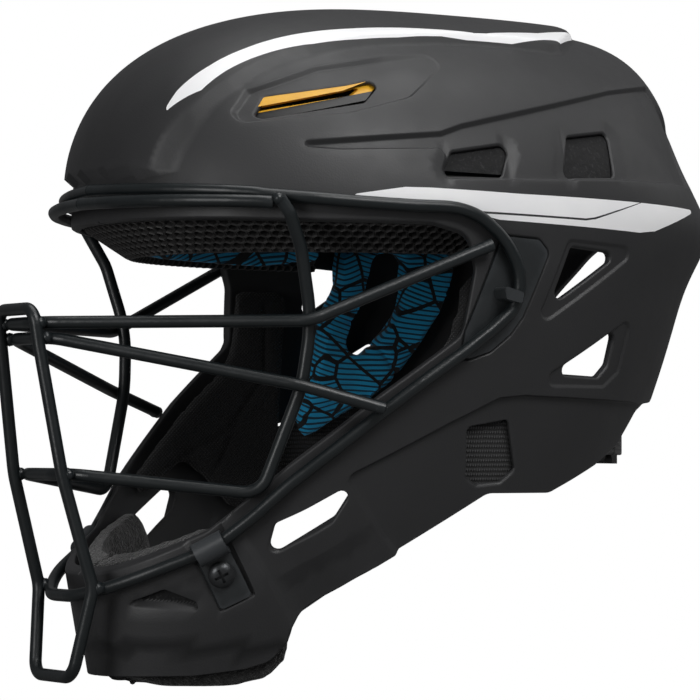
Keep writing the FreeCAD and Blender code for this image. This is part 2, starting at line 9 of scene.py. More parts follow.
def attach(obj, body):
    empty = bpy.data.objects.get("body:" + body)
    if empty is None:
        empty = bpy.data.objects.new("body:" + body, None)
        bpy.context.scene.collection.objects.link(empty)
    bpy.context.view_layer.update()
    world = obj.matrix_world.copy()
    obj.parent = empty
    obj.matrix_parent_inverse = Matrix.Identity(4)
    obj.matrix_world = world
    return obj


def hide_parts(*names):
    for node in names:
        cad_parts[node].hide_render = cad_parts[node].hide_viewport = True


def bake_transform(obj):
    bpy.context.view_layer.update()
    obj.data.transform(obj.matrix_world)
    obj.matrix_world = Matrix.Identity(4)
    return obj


# A catcher's helmet in its worn position. Lengths below are in millimetres, as in the CAD
# frame: the face looks along -Y, the wearer's left is +X and +Z is up.
MM = 0.001

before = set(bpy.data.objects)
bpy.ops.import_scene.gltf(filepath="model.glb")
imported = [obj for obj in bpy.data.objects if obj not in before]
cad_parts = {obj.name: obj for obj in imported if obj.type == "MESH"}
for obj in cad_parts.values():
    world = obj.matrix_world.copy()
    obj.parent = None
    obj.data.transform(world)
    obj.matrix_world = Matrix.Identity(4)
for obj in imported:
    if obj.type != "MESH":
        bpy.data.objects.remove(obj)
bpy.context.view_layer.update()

# The moulded form, the same rounded section swept over the height as the solids have
HALF_WIDTH = 98.0
FRONT_REACH = 142.0
REAR_REACH = 116.0
REAR_LIP = 11.0
WIDEST_Z = 28.0
CROWN_Z = 112.0
SQUARENESS = 2.2
SIDE_CURVE = 1.93
FRONT_CURVE = 2.75
REAR_CURVE = 6.0
REAR_DRAFT = 0.09
HEART = np.array([0.0, 8.0, 0.0])
WALL = 4.0
RIDGE_HEIGHT = 4.0
RECESS = 2.0

# Rays from the heart are searched up to this far, in so many halvings
FAR = 260.0
HALVINGS = 36
# The chart of directions: millimetres to a radian, its rim, and the seam along that rim
SPREAD = 110.0
RIM = SPREAD * math.pi / 2
SEAM = 0.05
SEAM_INSET = 0.9985
# Rows of an even grid of triangles lie this share of its step apart
ROW = 0.866
# Points of the grid keep this far from the traces
APART = 0.9
# Marks of the rear view lie behind this y, and those of the top view above this z
REAR_FROM = 20
TOP_FROM = 44
NOWHERE = -99.0
# The share of the sheet's own direction in the shading of its walls
WALL_SHARE = 0.35


def reaches(z, off):
    """Half width, front reach and rear reach of the form at heights z, grown by off."""
    rise = np.maximum(0.0, z - WIDEST_Z)
    drop = np.maximum(0.0, WIDEST_Z - z)
    s = np.clip(rise / (CROWN_Z - WIDEST_Z + off), 0.0, 1.0)
    width = (HALF_WIDTH + off) * (1 - s ** SIDE_CURVE) ** (1 / SIDE_CURVE)
    width -= 0.41 * drop ** 2 / (drop + 116)
    front = (FRONT_REACH + off) * (1 - s ** FRONT_CURVE) ** (1 / FRONT_CURVE)
    front += 0.06 * np.minimum(drop, 135.0) - 0.15 * np.maximum(0.0, drop - 135.0)
    rear = (REAR_REACH + off - REAR_DRAFT * rise) * (1 - s ** REAR_CURVE) ** (1 / REAR_CURVE)
    rear -= 0.512 * drop ** 2 / (drop + 68)
    rear += REAR_LIP * np.exp(-((z - WIDEST_Z) / 18.0) ** 2)
    return np.maximum(width, 1e-6), np.maximum(front, 1e-6), np.maximum(rear, 1e-6)


def sizes_at(z):
    """Half width, front reach and rear reach of the form at one height."""
    return [float(size) for size in reaches(np.array(float(z)), 0.0)]


def side_x(y, z, off):
    """How far out the form, grown by off, stands at a point of the side view."""
    width, front, rear = sizes_at(z)
    reach = (front if y < HEART[1] else rear) + off
    share = min(1.0, abs(y - HEART[1]) / reach)
    return (width + off) * (1 - share ** SQUARENESS) ** (1 / SQUARENESS)


def outside(points, off):
    """Whether each point lies outside the form."""
    width, front, rear = reaches(points[:, 2], off)
    along = points[:, 1] - HEART[1]
    reach = np.where(along < 0, front, rear)
    share = (np.abs(points[:, 0]) / width) ** SQUARENESS + (np.abs(along) / reach) ** SQUARENESS
    return (share > 1.0) | (points[:, 2] > CROWN_Z + off)


def cast(directions, off):
    """Where rays from the heart of the form meet it; off is one value or one for each ray."""
    near = np.zeros(len(directions))
    far = np.full(len(directions), FAR)
    for _ in range(HALVINGS):
        middle = (near + far) / 2
        out = outside(HEART + directions * middle[:, None], off)
        far = np.where(out, middle, far)
        near = np.where(out, near, middle)
    return HEART + directions * middle[:, None]


def to_chart(points):
    """Points in space to a flat chart of directions, centred on the wearer's left."""
    ray = points - HEART
    ray = ray / np.linalg.norm(ray, axis=1)[:, None]
    angle = np.arccos(np.clip(ray[:, 0], -1.0, 1.0))
    flat = np.hypot(ray[:, 1], ray[:, 2]) + 1e-12
    return SPREAD * np.stack([angle * ray[:, 1] / flat, angle * ray[:, 2] / flat], axis=1)


def from_chart(chart):
    """Chart points to unit directions."""
    reach = np.hypot(chart[:, 0], chart[:, 1])
    angle = np.minimum(reach / SPREAD, math.pi / 2)
    share = np.sin(angle) / np.maximum(reach, 1e-9)
    return np.stack([np.cos(angle), chart[:, 0] * share, chart[:, 1] * share], axis=1)


def rounded(outline, radius):
    """A closed outline with its corners turned into arcs."""
    points = []
    count = len(outline)
    for i in range(count):
        corner = np.array(outline[i], float)
        a = np.array(outline[i - 1], float) - corner
        b = np.array(outline[(i + 1) % count], float) - corner
        la, lb = np.linalg.norm(a), np.linalg.norm(b)
        a, b = a / la, b / lb
        half = math.acos(max(-1.0, min(1.0, float(a @ b)))) / 2
        if half > math.pi / 2 - 0.02:
            points.append(corner)
            continue
        reach = min(radius / math.tan(half), 0.48 * la, 0.48 * lb)
        bend = reach * math.tan(half)
        middle = corner + (a + b) / np.linalg.norm(a + b) * bend / math.sin(half)
        start, end = corner + a * reach - middle, corner + b * reach - middle
        first = math.atan2(start[1], start[0])
        sweep = math.atan2(end[1], end[0]) - first
        sweep = (sweep + math.pi) % (2 * math.pi) - math.pi
        steps = max(3, int(abs(sweep) * bend / 1.0))
        for k in range(steps + 1):
            turn = first + sweep * k / steps
            points.append(middle + bend * np.array([math.cos(turn), math.sin(turn)]))
    return np.array(points)


def grown(outline, reach):
    """An outline moved outwards by reach."""
    following = np.roll(outline, -1, axis=0) - outline
    leading = outline - np.roll(outline, 1, axis=0)
    u, v = outline[:, 0], outline[:, 1]
    area = np.sum(u * np.roll(v, -1) - v * np.roll(u, -1))
    normals = np.zeros_like(outline)
    for run in (following, leading):
        length = np.linalg.norm(run, axis=1)[:, None] + 1e-9
        normals += np.stack([run[:, 1], -run[:, 0]], axis=1) / length
    normals /= np.linalg.norm(normals, axis=1)[:, None] + 1e-9
    return outline + normals * reach * (1 if area > 0 else -1)


def from_line(points, p, q):
    """How far points of a flat view lie from the line between p and q."""
    run = q - p
    share = np.clip(((points - p) @ run) / (run @ run), 0.0, 1.0)
    return np.linalg.norm(points - p - share[:, None] * run, axis=1)


def depth_inside(outline, u, v):
    """How far each point lies inside a closed outline; negative outside it."""
    points = np.stack([u, v], axis=1)
    best = np.full(len(points), 1e9)
    inside = np.zeros(len(points), bool)
    for p, q in zip(outline, np.roll(outline, -1, axis=0)):
        if math.dist(p, q) < 1e-6:
            continue
        best = np.minimum(best, from_line(points, p, q))
        crosses = (p[1] > v) != (q[1] > v)
        if p[1] != q[1]:
            inside ^= crosses & (u < p[0] + (v - p[1]) / (q[1] - p[1]) * (q[0] - p[0]))
    return np.where(inside, best, -best)


class Mark:
    """An outline drawn on the form in the side, rear or top view."""

    def __init__(self, outline, radius=2.0, view="side"):
        self.outline = rounded(outline, radius)
        self.view = view

    def depth(self, points):
        """How far points on the form lie inside the outline."""
        if self.view == "side":
            return depth_inside(self.outline, points[:, 1], points[:, 2])
        if self.view == "rear":
            found = depth_inside(self.outline, points[:, 0], points[:, 2])
            return np.where(points[:, 1] > REAR_FROM, found, NOWHERE)
        found = depth_inside(self.outline, points[:, 0], points[:, 1])
        return np.where(points[:, 2] > TOP_FROM, found, NOWHERE)

    def lift(self, u, v):
        """The point of the form at (u, v) of this view, or None off its left half."""
        if self.view == "side":
            width, front, rear = sizes_at(v)
            share = abs(u - HEART[1]) / (front if u < HEART[1] else rear)
            if share >= 1 or v >= CROWN_Z:
                return None
            return (width * (1 - share ** SQUARENESS) ** (1 / SQUARENESS), u, v)
        if u < -1e-9:
            return None
        if self.view == "rear":
            width, _, rear = sizes_at(v)
            if u >= width:
                return None
            return (u, HEART[1] + rear * (1 - (u / width) ** SQUARENESS) ** (1 / SQUARENESS), v)
        low, high = WIDEST_Z, CROWN_Z
        if outside(np.array([[u, v, low]]), 0.0)[0]:
            return None
        for _ in range(30):
            middle = (low + high) / 2
            if outside(np.array([[u, v, middle]]), 0.0)[0]:
                high = middle
            else:
                low = middle
        return (u, v, middle)

    def traces(self, reach, step):
        """The outline grown by reach as runs of points on the left half of the form."""
        outline = grown(self.outline, reach)
        runs, run = [], []

        def follow(p, q, a, b, level):
            if a is None and b is None:
                return
            far = a is None or b is None or math.dist(a, b) > step
            if far and level < 14:
                middle = (p + q) / 2
                m = self.lift(*middle)
                follow(p, middle, a, m, level + 1)
                follow(middle, q, m, b, level + 1)
                return
            if a is not None and b is not None:
                if not run:
                    run.append(a)
                run.append(b)
                return
            if run:
                runs.append(list(run))
                run.clear()

        for p, q in zip(outline, np.roll(outline, -1, axis=0)):
            follow(p, q, self.lift(*p), self.lift(*q), 0)
        if run:
            runs.append(run)
        return runs


def chart_mesh(traces, grid, keep):
    """Triangles over the chart that respect the traces; keep says which of them stay."""
    verts, edges = [], []
    for run in traces:
        flat = to_chart(np.array(run))
        start = len(verts)
        verts += [tuple(p) for p in flat]
        edges += [(start + i, start + i + 1) for i in range(len(flat) - 1)]
    turns = np.linspace(0, 2 * math.pi, int(2 * math.pi * RIM / grid))[:-1]
    start = len(verts)
    verts += [(RIM * math.cos(t), RIM * math.sin(t)) for t in turns]
    count = len(turns)
    edges += [(start + i, start + (i + 1) % count) for i in range(count)]
    taken = np.array(verts)
    rows = []
    for j in range(int(-RIM / grid / ROW), int(RIM / grid / ROW) + 1):
        line = np.arange(-RIM, RIM, grid) + (grid / 2 if j % 2 else 0)
        rows.append(np.stack([line, np.full(len(line), j * grid * ROW)], axis=1))
    free = np.concatenate(rows)
    free = free[np.hypot(free[:, 0], free[:, 1]) < RIM - grid * 0.4]
    free = free[keep(cast(from_chart(free), 0.0), 1.0)]
    cells = {}
    for p in taken:
        cells.setdefault((int(p[0] // APART), int(p[1] // APART)), []).append(p)
    lonely = []
    for p in free:
        i, j = int(p[0] // APART), int(p[1] // APART)
        near = [q for a in (i - 1, i, i + 1) for b in (j - 1, j, j + 1) for q in cells.get((a, b), ())]
        lonely.append(all(math.dist(p, q) > APART for q in near))
    free = free[np.array(lonely, bool)]
    verts += [tuple(p) for p in free]
    found = delaunay_2d_cdt([Vector(p) for p in verts], edges, [], 0, 1e-4, False)
    chart = np.array([tuple(p) for p in found[0]])
    faces = np.array([tuple(f) for f in found[2]])
    middle = chart[faces].mean(axis=1)
    faces = faces[keep(cast(from_chart(middle), 0.0), 0.0)]
    used = np.unique(faces)
    place = np.full(len(chart), -1)
    place[used] = np.arange(len(used))
    return chart[used], place[faces]


def border(faces):
    """The directed edges that only one triangle uses."""
    sides = {}
    for a, b, c in faces:
        for side in ((a, b), (b, c), (c, a)):
            sides[side] = sides.get(side, 0) + 1
    return [side for side in sides if (side[1], side[0]) not in sides]


def bent_normals(chart, level):
    """Directions square to the lifted sheet, found from small moves over the chart."""
    step = 0.12
    sides = []
    for move in ((step, 0.0), (0.0, step)):
        ahead, behind = chart + np.array(move), chart - np.array(move)
        sides.append(lifted(ahead, level) - lifted(behind, level))
    normals = np.cross(sides[0], sides[1])
    return normals / (np.linalg.norm(normals, axis=1)[:, None] + 1e-12)


def lifted(chart, level):
    """Points of the sheet over the chart; level gives its height at points of the form."""
    directions = from_chart(chart)
    return cast(directions, level(cast(directions, 0.0)))


def skin(name, chart, faces, upper, lower):
    """A closed sheet between two levels over a chart mesh, with walls along its border.

    upper and lower give the height above the form at points of the form. The sheet covers the
    left half and is joined to its mirror image along the seam in the middle plane.
    """
    on_seam = np.hypot(chart[:, 0], chart[:, 1]) > RIM - SEAM
    inner = chart * np.where(on_seam, SEAM_INSET, 1.0)[:, None]
    sheets, normals = [], []
    for level, sign in ((upper, 1.0), (lower, -1.0)):
        points = lifted(chart, level)
        bent = bent_normals(inner, level) * sign
        points[on_seam, 0] = 0.0
        bent[on_seam, 0] = 0.0
        sheets.append(points)
        normals.append(bent / np.linalg.norm(bent, axis=1)[:, None])
    count = len(chart)
    verts = np.concatenate(sheets)
    bent = np.concatenate(normals)
    polygons = [tuple(f) for f in faces] + [(a + count, c + count, b + count) for a, b, c in faces]
    walls = []
    for a, b in border(faces):
        if not (on_seam[a] and on_seam[b]):
            walls.append((b, a, a + count, b + count))
    polygons += walls
    walled = [False] * (2 * len(faces)) + [True] * len(walls)
    size = len(verts)
    place = np.where(np.tile(on_seam, 2), np.arange(size), np.arange(size) + size)
    flip = np.array([-1.0, 1.0, 1.0])
    verts = np.concatenate([verts, verts * flip])
    bent = np.concatenate([bent, bent * flip])
    polygons += [tuple(place[i] for i in reversed(p)) for p in polygons]
    return build(name, verts, polygons, bent, walled * 2)


def added(name, data):
    """A new object in the scene."""
    piece = bpy.data.objects.new(name, data)
    bpy.context.scene.collection.objects.link(piece)
    return piece


def build(name, verts, polygons, bent=None, walled=None):
    """A smooth mesh object from points in millimetres.

    bent holds directions for its shading, and walled says which polygons lean to their own.
    """
    used = np.unique(np.concatenate([np.array(p) for p in polygons]))
    place = np.full(len(verts), -1)
    place[used] = np.arange(len(used))
    polygons = [[int(place[i]) for i in p] for p in polygons]
    verts = np.asarray(verts)[used] * MM
    mesh = bpy.data.meshes.new(name)
    mesh.from_pydata(verts.tolist(), [], polygons)
    mesh.polygons.foreach_set("use_smooth", [True] * len(mesh.polygons))
    if bent is not None:
        corners = np.empty(len(mesh.loops), int)
        mesh.loops.foreach_get("vertex_index", corners)
        shade = bent[used][corners]
        start = 0
        for polygon, wall in zip(mesh.polygons, walled):
            end = start + len(polygon.vertices)
            if wall:
                shade[start:end] = WALL_SHARE * shade[start:end] + np.array(polygon.normal)
            start = end
        shade /= np.linalg.norm(shade, axis=1)[:, None] + 1e-12
        mesh.normals_split_custom_set(shade.tolist())
    mesh.update()
    return added(name, mesh)


def tube(rings, count, side):
    """Polygons of a tube of rings with count points each, closed at both ends.

    side is 1, or -1 for a tube with mirrored points.
    """
    polygons = []
    for i in range(rings - 1):
        for j in range(count):
            a, b = i * count + j, i * count + (j + 1) % count
            polygons.append((a, b, b + count, a + count))
    polygons.append(tuple(range(count))[::-1])
    polygons.append(tuple((rings - 1) * count + j for j in range(count)))
    return polygons if side > 0 else [polygon[::-1] for polygon in polygons]


# Outlines on the shell: (y, z) of the side view, but (x, z) of the rear view for the rear port
# and (x, y) of the top view for the ridge
EYE_PORT = [
    (-170, 28), (-94, 25.5), (-42, 25), (-27, 21), (-23.5, 8), (-26.5, -17), (-33, -22),
    (-58, -41), (-88, -67), (-101, -80), (-114, -93), (-140, -107), (-170, -112),
]
UNDERSIDE = [
    (-170, -148.8), (-112, -148.6), (-94, -146.3), (-85, -143.5), (-79.5, -136), (-78.5, -127),
    (-50, -106), (-5, -79), (25, -79), (50, -68), (64, -60), (76, -46), (92, -40), (150, -40),
    (150, -180), (-170, -180),
]
REAR_PORT = [(-46, -200), (-46, 2), (-36, 28), (36, 28), (46, 2), (46, -200)]
STRUT_WINDOW = [(-91, -90), (-61, -72), (-69, -88), (-93, -104)]
CHANNEL = [
    (-94, 54), (-34, 59.5), (-24, 63), (11, 71), (60, 82), (98, 88), (112, 70), (108, 46),
    (53, 45), (18, 43.5), (-38, 42), (-32, 54), (-74, 52.5),
]
CHANNEL_WINDOWS = [
    [(-31, 53.5), (-4, 58), (-11, 44), (-37, 43.5)],
    [(25, 62), (50, 65.5), (46, 46.5), (19, 45)],
]
SCOOP = [(-109, 62), (-98, 75), (-71, 85), (-43, 90), (-12, 93), (-41, 74), (-67, 67)]
SCOOP_VENT = [(-100, 66), (-94, 73.8), (-63, 79.2), (-47, 83), (-60, 72.2), (-97, 65.2)]
REAR_VENTS = [
    [(20, 18), (46, 16), (11, -6)],
    [(48, -13), (46, -28), (41, -33), (15, -32)],
]
VENT_BEVELS = [
    [(18, 20), (56, 18), (4, -15)],
    [(56, -8), (52, -30), (44, -36), (6, -36)],
]
LOWER_STEP = [
    (-66, -71), (-28, -51), (-7, -41), (4, -40), (68, -42), (150, -42), (150, -120),
    (-20, -120), (-47, -95),
]
STRAP_SLOT = [(-19, -53), (-1, -50), (6, -70), (0, -75), (-11, -76), (-16, -73)]
CHIN_VENT = [(-134, -119), (-124, -113.5), (-114, -118), (-113, -121)]
CLIP_SEAT = [(-120.5, -94), (-105, -121.3), (-94.2, -115.2), (-109.5, -87)]
EAR_SEAT = [(-13, 21), (4, 20), (9, 15), (-1, -10), (-6, -17), (-14, -23.5), (-27, -28), (-26, -16)]
RIDGE_SIDE = [
    (22, -140), (35, -129), (43, -116), (47, -101), (50, -69), (51, -20), (50, 46), (28, 68),
]
RIDGE = RIDGE_SIDE + [(0, 74)] + [(-x, y) for x, y in reversed(RIDGE_SIDE)]

# Through openings, and recessed areas with how far they lie below the form
HOLES = [Mark(EYE_PORT, 9.0), Mark(UNDERSIDE, 8.0), Mark(REAR_PORT, 14.0, "rear")]
HOLES.append(Mark(STRUT_WINDOW, 4.0))
WINDOW_MARKS = [Mark(outline, 2.5) for outline in CHANNEL_WINDOWS]
HOLES += WINDOW_MARKS + [Mark(outline, 2.5) for outline in REAR_VENTS]
HOLES += [Mark(outline, 2.0) for outline in (SCOOP_VENT, STRAP_SLOT)]
SCOOP_MARK = Mark(SCOOP, 3.0)
VENT_MARK = Mark(CHIN_VENT, 0.8)
VENT_DEPTH = 3.0
STEPS = [(Mark(outline, 3.0), RECESS) for outline in (CHANNEL, LOWER_STEP, EAR_SEAT)]
STEPS.append((SCOOP_MARK, RECESS))
STEPS += [(Mark(outline, 3.0), RECESS / 2) for outline in VENT_BEVELS]
STEPS += [(VENT_MARK, VENT_DEPTH), (Mark(CLIP_SEAT, 0.8), RECESS)]
CROWN_RIDGE = Mark(RIDGE, 10.0, "top")

# Rounding of the openings' edges, and half widths of the slopes of steps and ridge
EDGE_ROUND = 0.8
STEP_RUN = 0.9
RIDGE_RUN = 3.0
# The scoop's step fades out by this share, from this y on over this run
SCOOP_FADE = 0.85
SCOOP_FADE_Y = -52
SCOOP_FADE_RUN = 34.0
# The shell's mesh: its grid, and the spacing of points along openings, steps, and ridge and print
GRID = 3.0
HOLE_PITCH, STEP_PITCH, PRINT_PITCH = 1.6, 1.8, 2.0
# No part of the shell lies below this height
SHELL_FOOT_Z = -158

# White print: along the ridge in the top view as (x, y), and along the side as (y, z)
RIDGE_STRIPES = [
    [(33.4, -121.2), (33.8, -115), (36.7, -103.2), (39.1, -89.2), (41.5, -68.5), (44.2, -47.6),
     (47, -14.9), (48.8, 12.1), (50.2, -1), (50.6, -29.5), (50, -47.1), (48.8, -66.2),
     (45.8, -86.6), (43.3, -100.4), (41.9, -109.4)],
    [(49.8, -19), (48.2, 12), (41, 41), (27.5, 68), (31, 66), (46, 49), (50.8, 23), (51, 1.5)],
]
SIDE_STRIPE = [
    (-76, 34.2), (-52, 38), (-42.5, 38), (-4.8, 36.8), (98, 35.4), (64.5, 25.2), (55.2, 24.2),
    (-14, 26.6), (-30, 29.6),
]
# The dark line that parts the side stripe
PRINT_LINE = [
    (-26, 28.9), (26, 27.7), (31, 28.4), (57, 36.0), (56, 36.0), (30.6, 29.1), (26, 28.5),
    (-26, 29.7),
]
PRINTS = [Mark(outline, 0.6, "top") for outline in RIDGE_STRIPES] + [Mark(SIDE_STRIPE, 0.8)]
PRINT_GAP = Mark(PRINT_LINE, 0.2)

# The chin's creases: a rib before the strut, a crease along the strut and one under the toe,
# with how far the faces behind them fall back and at what slope
RIB_TOP, RIB_FOOT = np.array([-100.0, -95.0]), np.array([-80.0, -124.0])
CREASE_FOOT, CREASE_TOP = np.array([-88.0, -111.0]), np.array([-63.0, -94.0])
CHIN_TOP_Z = -70
CHIN_CREASE_Z = -133.0
STRUT_DROP, STRUT_REACH = 2.0, 26
CREASE_DROP, CREASE_SLOPE, CREASE_END_Y = 1.6, 0.22, -48
TOE_DROP, TOE_SLOPE = 2.0, 0.34
# The bevels beside the channel windows, from this share of the window's half width on
BEVEL_REACH = 5.0
BEVEL_DROP = 1.2
BEVEL_FROM = 0.72


def smooth(value):
    """An eased ramp from 0 to 1."""
    value = np.clip(value, 0.0, 1.0)
    return value * value * (3 - 2 * value)


def solid(points, margin):
    """Whether the shell has its wall at each point of the form, with a margin round the holes."""
    stays = points[:, 2] > SHELL_FOOT_Z
    for hole in HOLES:
        stays &= hole.depth(points) < -margin
    return stays


def edge_rounding(points):
    """How far the wall's face drops back next to its holes."""
    near = np.full(len(points), -NOWHERE)
    for hole in HOLES:
        near = np.minimum(near, -hole.depth(points))
    inside = np.clip(EDGE_ROUND - near, 0.0, EDGE_ROUND)
    return EDGE_ROUND - np.sqrt(EDGE_ROUND ** 2 - inside ** 2)


def beside(points, start, end):
    """How far points lie to the right of a line in the side view, looking from start to end."""
    run = (end - start) / np.linalg.norm(end - start)
    away = points[:, 1:] - start
    return away[:, 0] * run[1] - away[:, 1] * run[0]


def chin_facets(points):
    """How far the chin cup and the strut fall back behind their creases."""
    low = smooth((CHIN_TOP_Z - points[:, 2]) / 10.0)
    right = beside(points, RIB_FOOT, RIB_TOP)
    strut = smooth(0.5 + right / 1.6) * smooth((STRUT_REACH - right) / 20.0) * STRUT_DROP
    under = np.maximum(0.0, beside(points, CREASE_FOOT, CREASE_TOP))
    under = np.minimum(CREASE_DROP, CREASE_SLOPE * under) * smooth(right / 4.0)
    under *= smooth((CREASE_END_Y - points[:, 1]) / 12.0)
    toe = np.minimum(TOE_DROP, TOE_SLOPE * np.maximum(0.0, CHIN_CREASE_Z - points[:, 2]))
    return (strut + under) * low + toe


def side_trace(start, end, aside):
    """A line of the side view laid on the form, moved to its right by aside."""
    run = (end - start) / np.linalg.norm(end - start)
    shift = np.array([run[1], -run[0]]) * aside
    points = []
    for share in np.linspace(0.0, 1.0, int(np.linalg.norm(end - start) / 1.2) + 2):
        y, z = start + (end - start) * share + shift
        points.append((side_x(y, z, 0.0), y, z))
    return points


def window_bevels(points):
    """How far the wall falls back on the left and right of each channel window."""
    drop = np.zeros(len(points))
    for mark in WINDOW_MARKS:
        away = -mark.depth(points)
        middle = mark.outline.mean(axis=0)
        half = np.ptp(mark.outline[:, 0]) / 2
        aside = smooth((np.abs(points[:, 1] - middle[0]) / half - BEVEL_FROM) / 0.3)
        drop = np.maximum(drop, BEVEL_DROP * np.clip(1 - away / BEVEL_REACH, 0.0, 1.0) * aside)
    return drop


def shell_level(points):
    """Height of the shell's outside above the form."""
    level = np.zeros(len(points))
    for mark, drop in STEPS:
        share = smooth(0.5 + mark.depth(points) / (2 * STEP_RUN))
        if mark is SCOOP_MARK:
            share = share * (1 - SCOOP_FADE * smooth((points[:, 1] - SCOOP_FADE_Y) / SCOOP_FADE_RUN))
        level = np.minimum(level, -drop * share)
    level -= window_bevels(points)
    level = np.minimum(level, -chin_facets(points))
    level += RIDGE_HEIGHT * smooth(0.5 + CROWN_RIDGE.depth(points) / (2 * RIDGE_RUN))
    return level - edge_rounding(points)


def shell_traces():
    """Lines that the shell's mesh follows: edges of openings, steps, ridge, print and creases."""
    traces = []
    for hole in HOLES:
        for reach in (0.0, 0.25, EDGE_ROUND + 0.1):
            traces += hole.traces(reach, HOLE_PITCH)
    for mark, _ in STEPS:
        for reach in (-STEP_RUN, -STEP_RUN / 3, STEP_RUN / 3, STEP_RUN):
            traces += mark.traces(reach, STEP_PITCH)
    for reach in (-RIDGE_RUN, -RIDGE_RUN / 3, RIDGE_RUN / 3, RIDGE_RUN):
        traces += CROWN_RIDGE.traces(reach, PRINT_PITCH)
    for mark in PRINTS + [PRINT_GAP]:
        traces += mark.traces(0.0, PRINT_PITCH)
    for mark in WINDOW_MARKS:
        for reach in (1.8, 2.8, 3.8, BEVEL_REACH):
            traces += mark.traces(reach, STEP_PITCH)
    traces += [side_trace(RIB_FOOT, RIB_TOP, aside) for aside in (-0.8, -0.2, 0.2, 0.8, 4.0)]
    traces += [side_trace(CREASE_FOOT, CREASE_TOP, aside) for aside in (-0.5, 0.5, 4.0)]
    return traces


def make_shell():
    """The shell's skin with its white print, and the dark foam look on the floor of the blind chin
    vents as painted shade of a deep vent.
    """
    chart, faces = chart_mesh(shell_traces(), GRID, solid)
    middle = cast(from_chart(chart[faces].mean(axis=1)), 0.0)
    print_and_painted_shade = np.zeros(len(faces), bool)
    for mark in PRINTS:
        print_and_painted_shade |= mark.depth(middle) > 0
    print_and_painted_shade &= PRINT_GAP.depth(middle) < 0
    # Faces on the blind chin vent's floor take the dark foam look: painted shade of a deep vent.
    print_and_painted_shade = print_and_painted_shade.astype(int) + 2 * (VENT_MARK.depth(middle) > 0.5)
    piece = skin("shell_skin", chart, faces, shell_level, lambda p: -WALL + 0.5 * edge_rounding(p))
    finish = np.zeros(len(piece.data.polygons), int)
    for first in (0, len(finish) // 2):
        finish[first:first + len(faces)] = print_and_painted_shade
    for look in ("shell", "print", "foam"):
        piece.data.materials.append(LOOKS[look])
    piece.data.polygons.foreach_set("material_index", finish)
    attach(piece, "helmet")
    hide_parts("shell")


# Materials, built from nodes
class Look:
    """A node material; its methods add nodes and return their output sockets."""

    def __init__(self, name, roughness, metallic=0.0, sheen=0.0):
        self.material = bpy.data.materials.new(name)
        self.material.use_nodes = True
        self.nodes = self.material.node_tree.nodes
        self.links = self.material.node_tree.links
        self.shader = self.nodes["Principled BSDF"]
        self.shader.inputs["Roughness"].default_value = roughness
        self.shader.inputs["Metallic"].default_value = metallic
        self.shader.inputs["Sheen Weight"].default_value = sheen
        self.place = self.nodes.new("ShaderNodeTexCoord").outputs["Object"]
        self.last_bump = None
        LOOKS[name] = self.material

    def put(self, socket, value):
        """Links an output socket to the input, or sets the input's value."""
        if hasattr(value, "is_output"):
            self.links.new(value, socket)
        else:
            socket.default_value = (*value, 1.0) if isinstance(value, tuple) else value

    def node(self, kind, inputs, **settings):
        """The outputs of a new node with these inputs and settings."""
        node = self.nodes.new("ShaderNode" + kind)
        for name, value in settings.items():
            setattr(node, name, value)
        for name, value in inputs.items():
            self.put(node.inputs[name], value)
        return node.outputs

    def noise(self, scale, detail=2.0):
        return self.node("TexNoise", {"Scale": scale, "Detail": detail, "Vector": self.place})["Fac"]

    def cells(self, scale, feature="F1", output="Distance"):
        inputs = {"Scale": scale, "Vector": self.place}
        return self.node("TexVoronoi", inputs, feature=feature)[output]

    def math(self, kind, a, b=0.0):
        return self.node("Math", {0: a, 1: b}, operation=kind)[0]

    def axes(self):
        return self.node("SeparateXYZ", {0: self.place})

    def along(self, x, y, z):
        """A length in metres along a direction; each share may be a socket."""
        parts = [self.math("MULTIPLY", axis, share) for axis, share in zip(self.axes(), (x, y, z))]
        return self.math("ADD", self.math("ADD", parts[0], parts[1]), parts[2])

    def wave(self, length, period):
        """A wave from 0 to 1 over a length socket in metres."""
        turn = self.math("SINE", self.math("MULTIPLY", length, 2 * math.pi / period))
        return self.math("ADD", self.math("MULTIPLY", turn, 0.5), 0.5)

    def span(self, value, low, high, to_low=0.0, to_high=1.0):
        """A value between low and high carried over to another span."""
        return self.node("MapRange", dict(enumerate((value, low, high, to_low, to_high))))[0]

    def blend(self, share, first, second):
        return self.node("Mix", {0: share, 6: first, 7: second}, data_type="RGBA")[2]

    def paint(self, share, first, second):
        """Sets the colour to a blend of two."""
        self.put(self.shader.inputs["Base Color"], self.blend(share, first, second))

    def rough(self, value):
        self.put(self.shader.inputs["Roughness"], value)

    def bump(self, height, distance):
        """Raises the surface by up to distance, in millimetres, on top of the bumps before."""
        inputs = {"Height": height, "Distance": distance * MM, "Strength": 1.0}
        if self.last_bump:
            inputs["Normal"] = self.last_bump
        self.last_bump = self.node("Bump", inputs)[0]
        self.put(self.shader.inputs["Normal"], self.last_bump)

    def edges(self):
        """Where the surface is convex, from 0 to 1."""
        return self.span(self.node("NewGeometry", {})["Pointiness"], 0.52, 0.62)


LOOKS = {}
# The line of the side view above which the vent insert is gold: a point and its slope
GOLD_Y, GOLD_Z, GOLD_SLOPE = -98.4, 65.6, 0.2209
# Cells of the lining's net to a metre
NET = 62.0


def moulded(name, tone, roughness, edge_highlight, grain=0.05):
    """Matte moulded plastic with a fine grain, and a painted highlight that lightens convex edges."""
    look = Look(name, roughness)
    patches = look.span(look.noise(14.0, 4.0), 0.3, 0.7)
    base = look.blend(patches, tone, tuple(c * 1.16 for c in tone))
    # Convex edges blend towards the lighter colour: a painted highlight where light catches them.
    look.paint(look.math("MULTIPLY", look.edges(), 0.5), base, edge_highlight)
    look.rough(look.span(look.noise(60.0, 5.0), 0.3, 0.7, roughness - 0.05, roughness + 0.07))
    look.bump(look.noise(1500.0, 2.0), grain)
    return look


